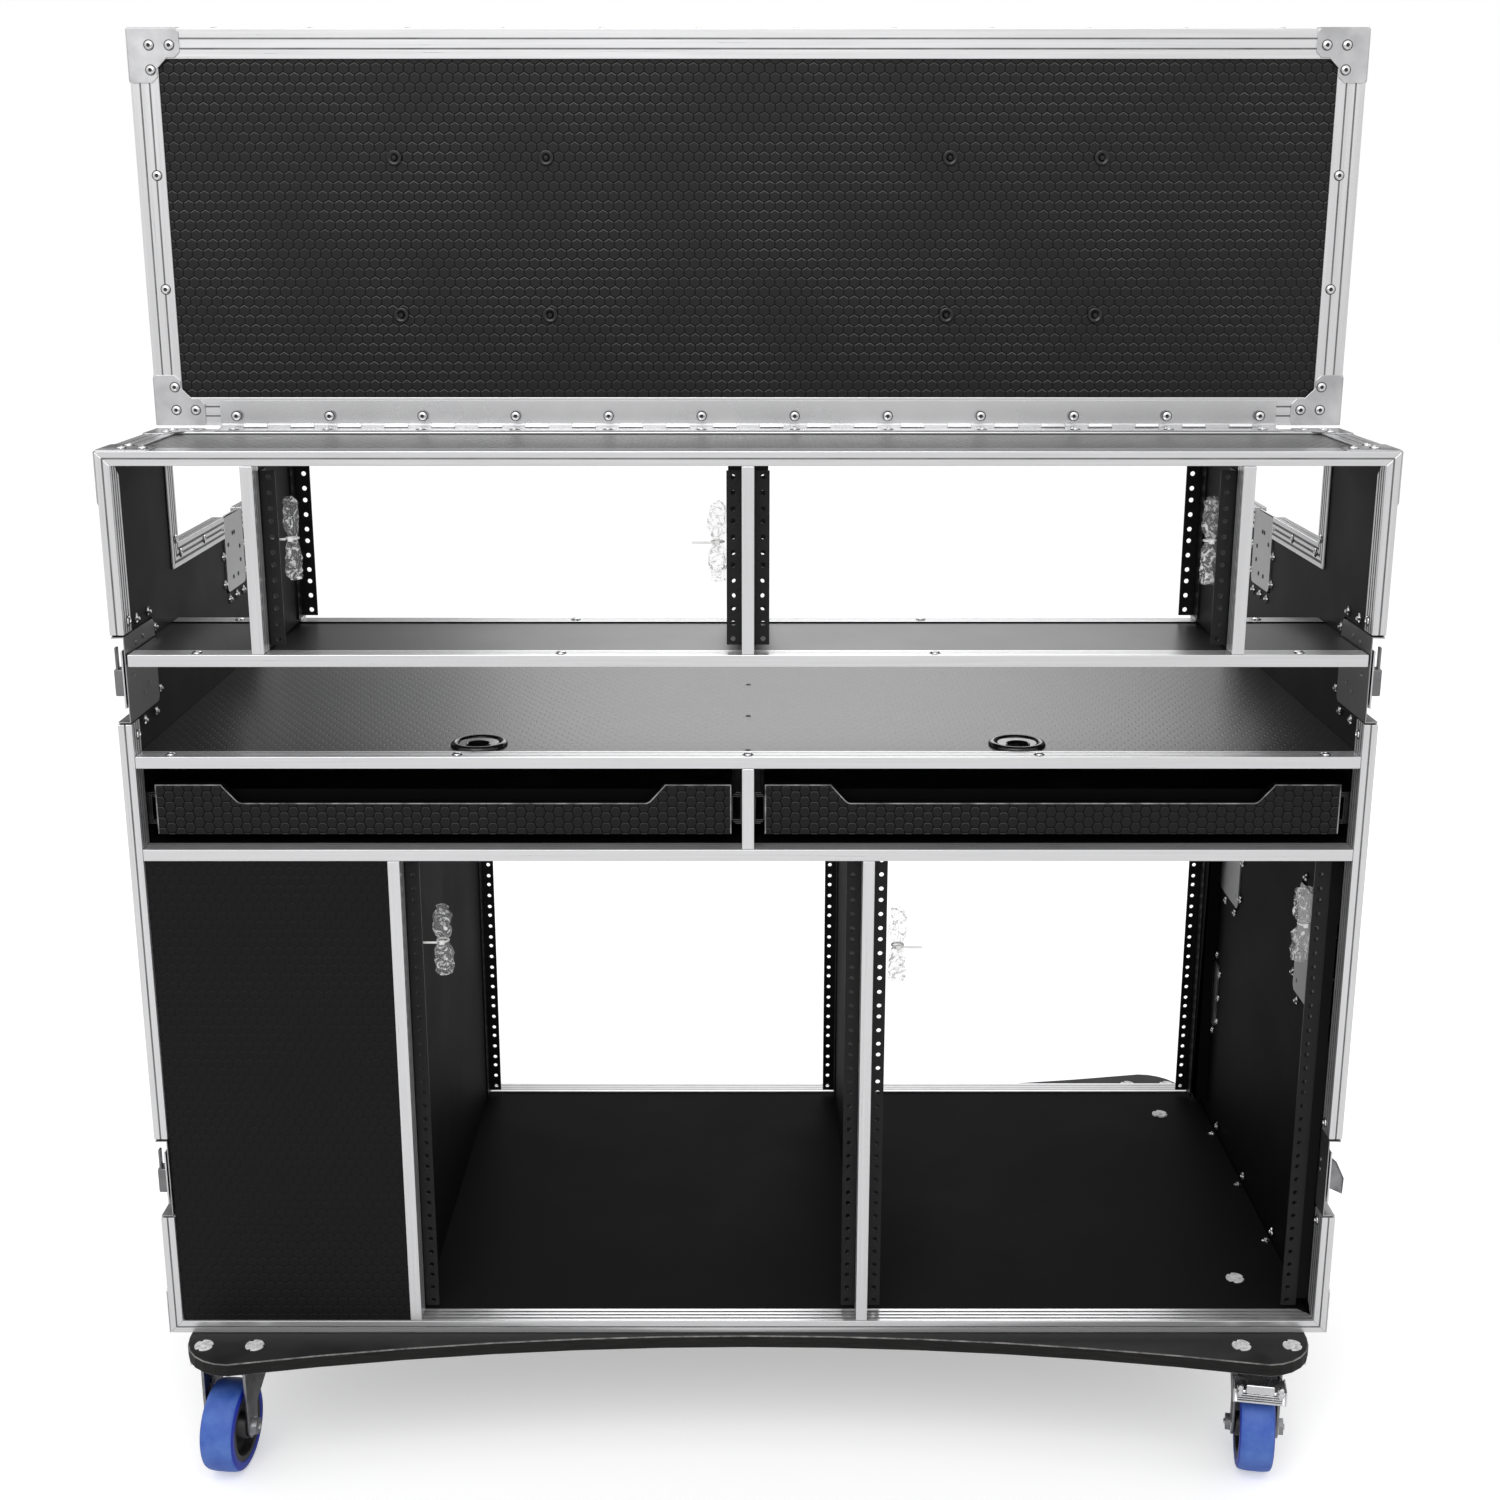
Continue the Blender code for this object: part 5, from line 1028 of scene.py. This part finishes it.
# Lid: laminated panel and plywood walls inside the same edging, with eight black cup washers for the
# monitor brackets.
LID_FACE = -0.0947
LID_BACK = 0.029
LID_FOOT = 1.1322
LID_TOP = 1.5396
lid_walls = copy_of("lid_walls", "laminated_lid_walls", "laminate_black", wall_black, hex_side)
for face in lid_walls.data.polygons:
    outside = abs(face.normal.x) > 0.9 and abs(face.center.x) > WALL_OUT - 0.001
    face.material_index = 1 if outside else 0
lid_front = (1, LID_FACE, 1)
lid_rear = (1, LID_BACK, -1)
lid_roof = (2, LID_TOP, -1)
lid_sill = (2, LID_FOOT, 1)
lid_bars = []
for side in (-1, 1):
    wall_face = (0, side * HALF_WIDTH, -side)
    lid_bars += [
        drawn(2, (LID_FOOT, LID_TOP), wall_face, lid_front, ANGLE, both_ends(0, 1)),
        drawn(2, (LID_FOOT, LID_TOP), wall_face, lid_rear, CHANNEL, [(0, 1, 1), (1, 0, 1), (1, 1, 1)]),
        drawn(1, (LID_FACE, LID_BACK), wall_face, lid_roof, ANGLE, both_ends(0, 2)),
        drawn(1, (LID_FACE, LID_BACK), wall_face, lid_sill, CHANNEL, [(0, 0, 1), (0, 2, 1), (1, 2, 1)]),
    ]
lid_bars += [
    drawn(0, across_case, lid_roof, lid_front, ANGLE, both_ends(1, 2)),
    drawn(0, across_case, lid_roof, lid_rear, CHANNEL, both_ends(1, 2)),
    drawn(0, across_case, lid_front, lid_sill, CHANNEL, both_ends(1, 2)),
]
gathered("lid_edging_grooved", lid_bars, "lid", None, "aluminium", "lid_edging")

lid_rivet_places = []
for side in (-1, 1):
    for z in (BODY_TOP + 0.265, BODY_TOP + 0.148):
        lid_rivet_places.append(((side * 0.6235, LID_FACE, z), FORWARD))
        for y in (LID_FACE + 0.020, LID_BACK - 0.015):
            lid_rivet_places.append(((side * HALF_WIDTH, y, z), (side, 0, 0)))
LEAF_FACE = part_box("hinge_upper_leaf")[0][1]
for x in [-0.5555 + index * 0.101 for index in range(12)]:
    lid_rivet_places.append(((x, LEAF_FACE, BODY_TOP + 0.0145), FORWARD))
    lid_rivet_places.append(((x, LID_FACE + 0.012, LID_TOP), UP))
    rivet_places.append(((x, HINGE_Y - 0.018, BODY_TOP + 0.0018), UP))

cup_black = finish("cup_black", 0.004, 0.007, (0.14, 0.24), scale=90.0)
CUP = [(0, 0.6), (3.6, 0.6), (4.2, 1.4), (6.2, 2.4), (7.4, 2.3), (8.2, 1.2), (8.2, 0), (0, 0)]
cup = lathed(CUP, 28, 60.0)
stud = lathed([(0, 1.6), (1.0, 1.6), (1.2, 2.2), (2.1, 2.1), (2.5, 1.4), (2.5, 0), (0, 0)], 16)
cup_places = []
for x in (-0.373, -0.213, 0.213, 0.373):
    cup_places += [((x, LID_FACE + SEAT, BODY_TOP + z), FORWARD) for z in (0.121, 0.283)]
gathered("cup_washers", set_at(cup, cup_places), "lid", cup_black, "grommet_black")
gathered("cup_bolts", set_at(stud, cup_places), "lid", cup_black, "zinc")

# Corner braces: flat L plates of pressed zinc over each corner of the edging, with three eye rivets
# each.
BRACE_TONES = ((0.50, 0.50, 0.51), (0.68, 0.68, 0.69))
brace_zinc = finish("brace_zinc", *BRACE_TONES, (0.30, 0.44), scale=24.0, relief=0.06, metallic=0.95)
ARM = 0.054
WIDE = 0.029
BRACE_HALF = [(ARM - 0.003, 0), (ARM, 0.003), (ARM, WIDE - 0.006), (ARM - 0.006, WIDE), (WIDE + 0.011, WIDE)]
BRACE = [(0, 0)] + BRACE_HALF + [(v, u) for u, v in reversed(BRACE_HALF)]
BRACE_EYES = ((0.0225, 0.0165), (0.0435, 0.0165), (0.0225, 0.041))


def brace(plates, places, corner, first, second, out):
    """Adds a plate from a corner along two directions, on the face that looks out, and its rivets."""
    corner, first, second, out = [Vector(part) for part in (corner, first, second, out)]
    plate = extruded([corner + first * u + second * v for u, v in BRACE], out * 0.0013)
    plates.append(soften(closed(plate), 0.0005, 2, 50.0))
    places += [(corner + first * u + second * v + out * 0.0013, out) for u, v in BRACE_EYES]


lid_braces = []
body_braces = []
for side in (-1, 1):
    edge_x = side * HALF_WIDTH
    for z, lift in ((LID_FOOT, 1), (LID_TOP, -1)):
        brace(lid_braces, lid_rivet_places, (edge_x, LID_FACE, z), (-side, 0, 0), (0, 0, lift), FORWARD)
        brace(lid_braces, lid_rivet_places, (edge_x, LID_FACE, z), (0, 1, 0), (0, 0, lift), (side, 0, 0))
    brace(lid_braces, [], (edge_x, LID_FACE, LID_TOP), (-side, 0, 0), (0, 1, 0), UP)
    for y, way in ((FRONT, 1), (HINGE_Y, -1)):
        brace(body_braces, rivet_places, (edge_x, y, BODY_TOP), (-side, 0, 0), (0, way, 0), UP)
        brace(body_braces, rivet_places, (edge_x, y, BODY_TOP), (0, way, 0), (0, 0, -1), (side, 0, 0))
    for y, z, way, lift in ((FRONT, BODY_BOTTOM, 1, 1), (REAR, BODY_BOTTOM, -1, 1), (REAR, STEP_TOP, -1, -1)):
        brace(body_braces, rivet_places, (edge_x, y, z), (0, way, 0), (0, 0, lift), (side, 0, 0))
gathered("lid_corner_braces", lid_braces, "lid", brace_zinc, "zinc")
gathered("body_corner_braces", body_braces, "case", brace_zinc, "zinc")

# Rivets: blind rivets with hollow heads along the edging, and their burst shanks on the inside. The
# same heads serve as studs and screws on the floor and the desk.
for side in (-1, 1):
    posts = [(y, z) for z in (0.985, 0.42, 0.52, 0.64, 0.76, 0.22) for y in (FRONT + 0.020, REAR - 0.020)]
    posts += [(y, BODY_BOTTOM + 0.020) for y in (-0.2, -0.05, 0.10, 0.24)]
    posts += [(y, STEP_TOP - 0.020) for y in (0.0, 0.21)]
    rivet_places += [((side * HALF_WIDTH, y, z), (side, 0, 0)) for y, z in posts]
    inner = [(FRONT + 0.018, z) for z in (0.955, 0.836, 0.398, 0.280)]
    inner += [(HINGE_Y - 0.012, 1.010), (HINGE_Y + 0.004, STEP_TOP - 0.012)]
    inner += [(HINGE_Y + 0.10, STEP_TOP - 0.012), (0.200, STEP_TOP - 0.014)]
    rivet_places += [((side * EDGE_IN, y, z), (-side, 0, 0)) for y, z in inner]
wall_studs = [((EDGE_IN - 0.006, y, FLOOR_TOP), UP) for y in (-0.129, 0.012, 0.155)]
wall_studs += [((EDGE_IN, y, BODY_BOTTOM + 0.024), (-1, 0, 0)) for y in (-0.129, 0.012, 0.155)]
desk_screws = [((0.0, FRONT + y, DESK_TOP - 0.0013), UP) for y in (0.032, 0.178, 0.330)]
# The near-black finish is painted shade on the dish holes and in the rivet heads; on the desk screws it is
# their own black.
for name, shape, places, body, look in (
    ("case_rivets", rivet, rivet_places, "case", None),
    ("burst_rivets", burst, burst_places, "case", zinc),
    ("dish_dimples", dimple, dimple_places, "case", dish_steel),
    ("dish_holes", blind_hole, hole_places, "case", painted_hole_shade_and_black_screws),
    ("lid_rivets", rivet, lid_rivet_places, "lid", None),
    ("wall_studs", burst, wall_studs, "case", zinc),
    ("desk_screws", blind_hole, desk_screws, "case", painted_hole_shade_and_black_screws),
):
    gathered(name, set_at(shape, places), body, look, "zinc")
discard(cup, rivet, burst, stud, dimple, blind_hole)

# Butterfly latches in their dishes: a base plate, a hooked draw plate and a turning wing of zinc sheet.
# One hook, at the lower right front, hangs out of its dish as in the photograph.
NOSE = (0.2925, 0.3090)
NOSE_OUT = 0.6436
WING_IN = 0.6366
WING_DEEP = 0.0058
BASE_IN = DISH_FACE + DISH_WALL + 0.0002
DRAW_IN = BASE_IN + 0.0016
HUB = [(0, 11.8), (4.0, 11.8), (6.2, 10.8), (8.5, 8.5), (8.5, 0), (0, 0)]


def latch_wing(side, y, z):
    """A wing of two rounded lobes with a folded rim, on its hub."""
    points = []
    for index in range(36):
        turn = math.tau * (index / 36 + 0.25)
        reach = 0.0095 + 0.0155 * math.cos(turn) ** 2
        points.append((side * WING_IN, y + reach * math.sin(turn), z + reach * math.cos(turn)))
    wing = extruded(points, (side * WING_DEEP, 0, 0))
    bpy.ops.mesh.inset(thickness=0.0018, depth=0.0)
    bpy.ops.transform.translate(value=(-side * WING_DEEP * 0.6, 0, 0))
    closed(wing)
    hub = lathed(HUB, 20)
    seat = Matrix.Translation((side * (DISH_FACE + 0.0006), y, z))
    hub.data.transform(seat @ Matrix.Rotation(side * math.pi / 2, 4, "Y"))
    return [soften(wing, 0.0004, 1, 40.0), hub]


def hanging_hook(z):
    """The hook of the open lower right latch, a bent plate that stands out of its dish."""
    outline = [(0.6340, 0.024), (0.6420, 0.017), (0.6510, -0.002), (0.6505, -0.021), (0.6465, -0.019)]
    outline.append((0.6340, -0.013))
    hook = extruded([(x, -0.3015, z + rise) for x, rise in outline], (0, -0.0034, 0))
    bpy.ops.mesh.inset(thickness=0.0014, depth=0.0)
    bpy.ops.transform.translate(value=(0, 0.0020, 0))
    return soften(closed(hook), 0.0003, 1, 40.0)


latch_bases = []
latch_noses = []
for side, hand in SIDES:
    base_x = (side * BASE_IN, side * (BASE_IN + 0.0014))
    draw_x = (side * DRAW_IN, side * (DRAW_IN + 0.002))
    for place, end in (("front", -1), ("rear", 1)):
        y = end * (REAR - 0.044)
        for level, span in (("upper", UPPER_LATCH), ("lower", LOWER_LATCH)):
            z = sum(span) / 2
            name = f"latch_{place}_{hand}_{level}"
            gathered(f"{name}_wing", latch_wing(side, y, z), name, zinc, "zinc", name)
            latch_bases.append(rounded(base_x, about(y, 0.024), about(z, 0.036), 0.0005))
            latch_bases.append(rounded(draw_x, (y - 0.015, end * 0.309), about(z, 0.030), 0.0006))
            if (place, hand, level) == ("front", "right", "lower"):
                gathered("hanging_latch_hook", [hanging_hook(z)], "case", fork_zinc, "zinc")
                continue
            nose_y = (end * NOSE[0], end * NOSE[1])
            nose = rounded((side * DRAW_IN, side * NOSE_OUT), nose_y, (z - 0.017, z + 0.011), 0.0016, 3)
            link_y = (end * 0.302, end * NOSE[1])
            link = rounded((side * 0.6388, side * 0.6412), link_y, (z + 0.010, z + 0.034), 0.0008)
            latch_noses += [nose, link]
    y = sum(LID_LATCH_Y) / 2
    z = sum(LID_LATCH) / 2
    name = f"latch_lid_{hand}"
    gathered(f"{name}_wing", latch_wing(side, y, z), name, zinc, "zinc", name)
    latch_bases.append(rounded(base_x, about(y, 0.036), about(z, 0.024), 0.0005))
    latch_bases.append(rounded(draw_x, about(y, 0.030), (z - 0.015, STEP_TOP - 0.0008), 0.0006))
gathered("latch_bases", latch_bases, "case", zinc, "zinc")
gathered("latch_noses", latch_noses, "case", dish_back, "zinc")

# Spring handles: rubber-gripped steel bails that drop back into their dishes and stand out when they
# are lifted.
grip_rubber = finish("grip_rubber", 0.010, 0.022, (0.5, 0.7), (1, 8, 1), 70.0, 0.4)
for side, hand in SIDES:
    for place in ("front", "rear"):
        dress(frame["nodes"][f"handle_{place}_{hand}"], grip_rubber)

# Screw bags: six small clear bags of rack screws, each cinched in the middle to a front rail by a white
# nylon tie. The film is crumpled, and opaque white patches along its folds are painted glints.
FILM_LOOK = {"Base Color": (0.86, 0.86, 0.87, 1.0), "Roughness": 0.10}
film, tree, shader = material("crumpled_clear_film", FILM_LOOK)
place = added(tree, "TexCoord", output="Object")
folds = added(tree, "TexNoise", {"Vector": place, "Scale": 72.0, "Detail": 3.0, "Distortion": 3.0})
# Where the fold noise is high the white film turns opaque: painted glints along the creases.
painted_glint_cover = ramp(tree, folds, 0.53, 0.66, 0.10, 0.92, "LINEAR")
feed(shader, {"Alpha": painted_glint_cover, "Normal": added(tree, "Bump", {"Distance": 0.002, "Height": folds})})
tie_nylon = finish("tie_nylon", (0.78, 0.78, 0.77), (0.88, 0.88, 0.87), (0.3, 0.45), scale=60.0)
BAG_Y = FRONT + 0.044
bag_films = []
bag_ties = []
noise.seed_set(7)
for index, (x, low, high, across, tail) in enumerate(
    (
        (-0.4640, 0.992, 1.079, 0.0098, -1),
        (-0.0310, 0.990, 1.074, 0.0110, -1),
        (0.4705, 0.987, 1.079, 0.0100, 1),
        (-0.3285, 0.559, 0.641, 0.0120, -1),
        (0.1610, 0.550, 0.639, 0.0110, 1),
        (0.5970, 0.576, 0.662, 0.0140, 1),
    )
):
    middle = (low + high) / 2
    bpy.ops.object.select_all(action="DESELECT")
    bpy.ops.mesh.primitive_uv_sphere_add(segments=18, ring_count=26, radius=1.0)
    bag = bpy.context.object
    for vertex in bag.data.vertices:
        u, v, w = vertex.co
        girth = 0.86 - 0.46 * math.exp(-((w / 0.16) ** 2)) + 0.75 * abs(w) ** 3
        crumple = noise.noise_vector(Vector((u * 2.1, v * 2.1, w * 4.2)) + Vector((index * 7.3, 0, 0)))
        fine = noise.noise_vector(Vector((u * 6.0, v * 6.0, w * 13.0)) + Vector((0, index * 5.1, 0)))
        vertex.co = (
            x + across * girth * (u + 0.32 * crumple.x + 0.14 * fine.x),
            BAG_Y + 0.0075 * girth * (v + 0.35 * crumple.y + 0.18 * fine.y),
            middle + (high - low) / 2 * (w + 0.05 * crumple.z * abs(w)),
        )
    bag_films.append(bag)
    bpy.ops.object.select_all(action="DESELECT")
    ring = {"major_radius": 0.0062, "minor_radius": 0.0011, "major_segments": 28, "minor_segments": 8}
    bpy.ops.mesh.primitive_torus_add(location=(x, BAG_Y, middle), **ring)
    bag_ties.append(bpy.context.object)
    tail_x = (x + tail * 0.005, x + tail * 0.026)
    bag_ties.append(rounded(tail_x, (BAG_Y - 0.0085, BAG_Y - 0.0073), about(middle, 0.0012), 0.0004))
    lock_y = (BAG_Y - 0.0098, BAG_Y - 0.0058)
    bag_ties.append(rounded(about(x, 0.0026), lock_y, about(middle, 0.0024), 0.0007))
gathered("screw_bags", bag_films, "case", film, "grommet_black")
gathered("bag_ties", bag_ties, "case", tie_nylon, "aluminium")
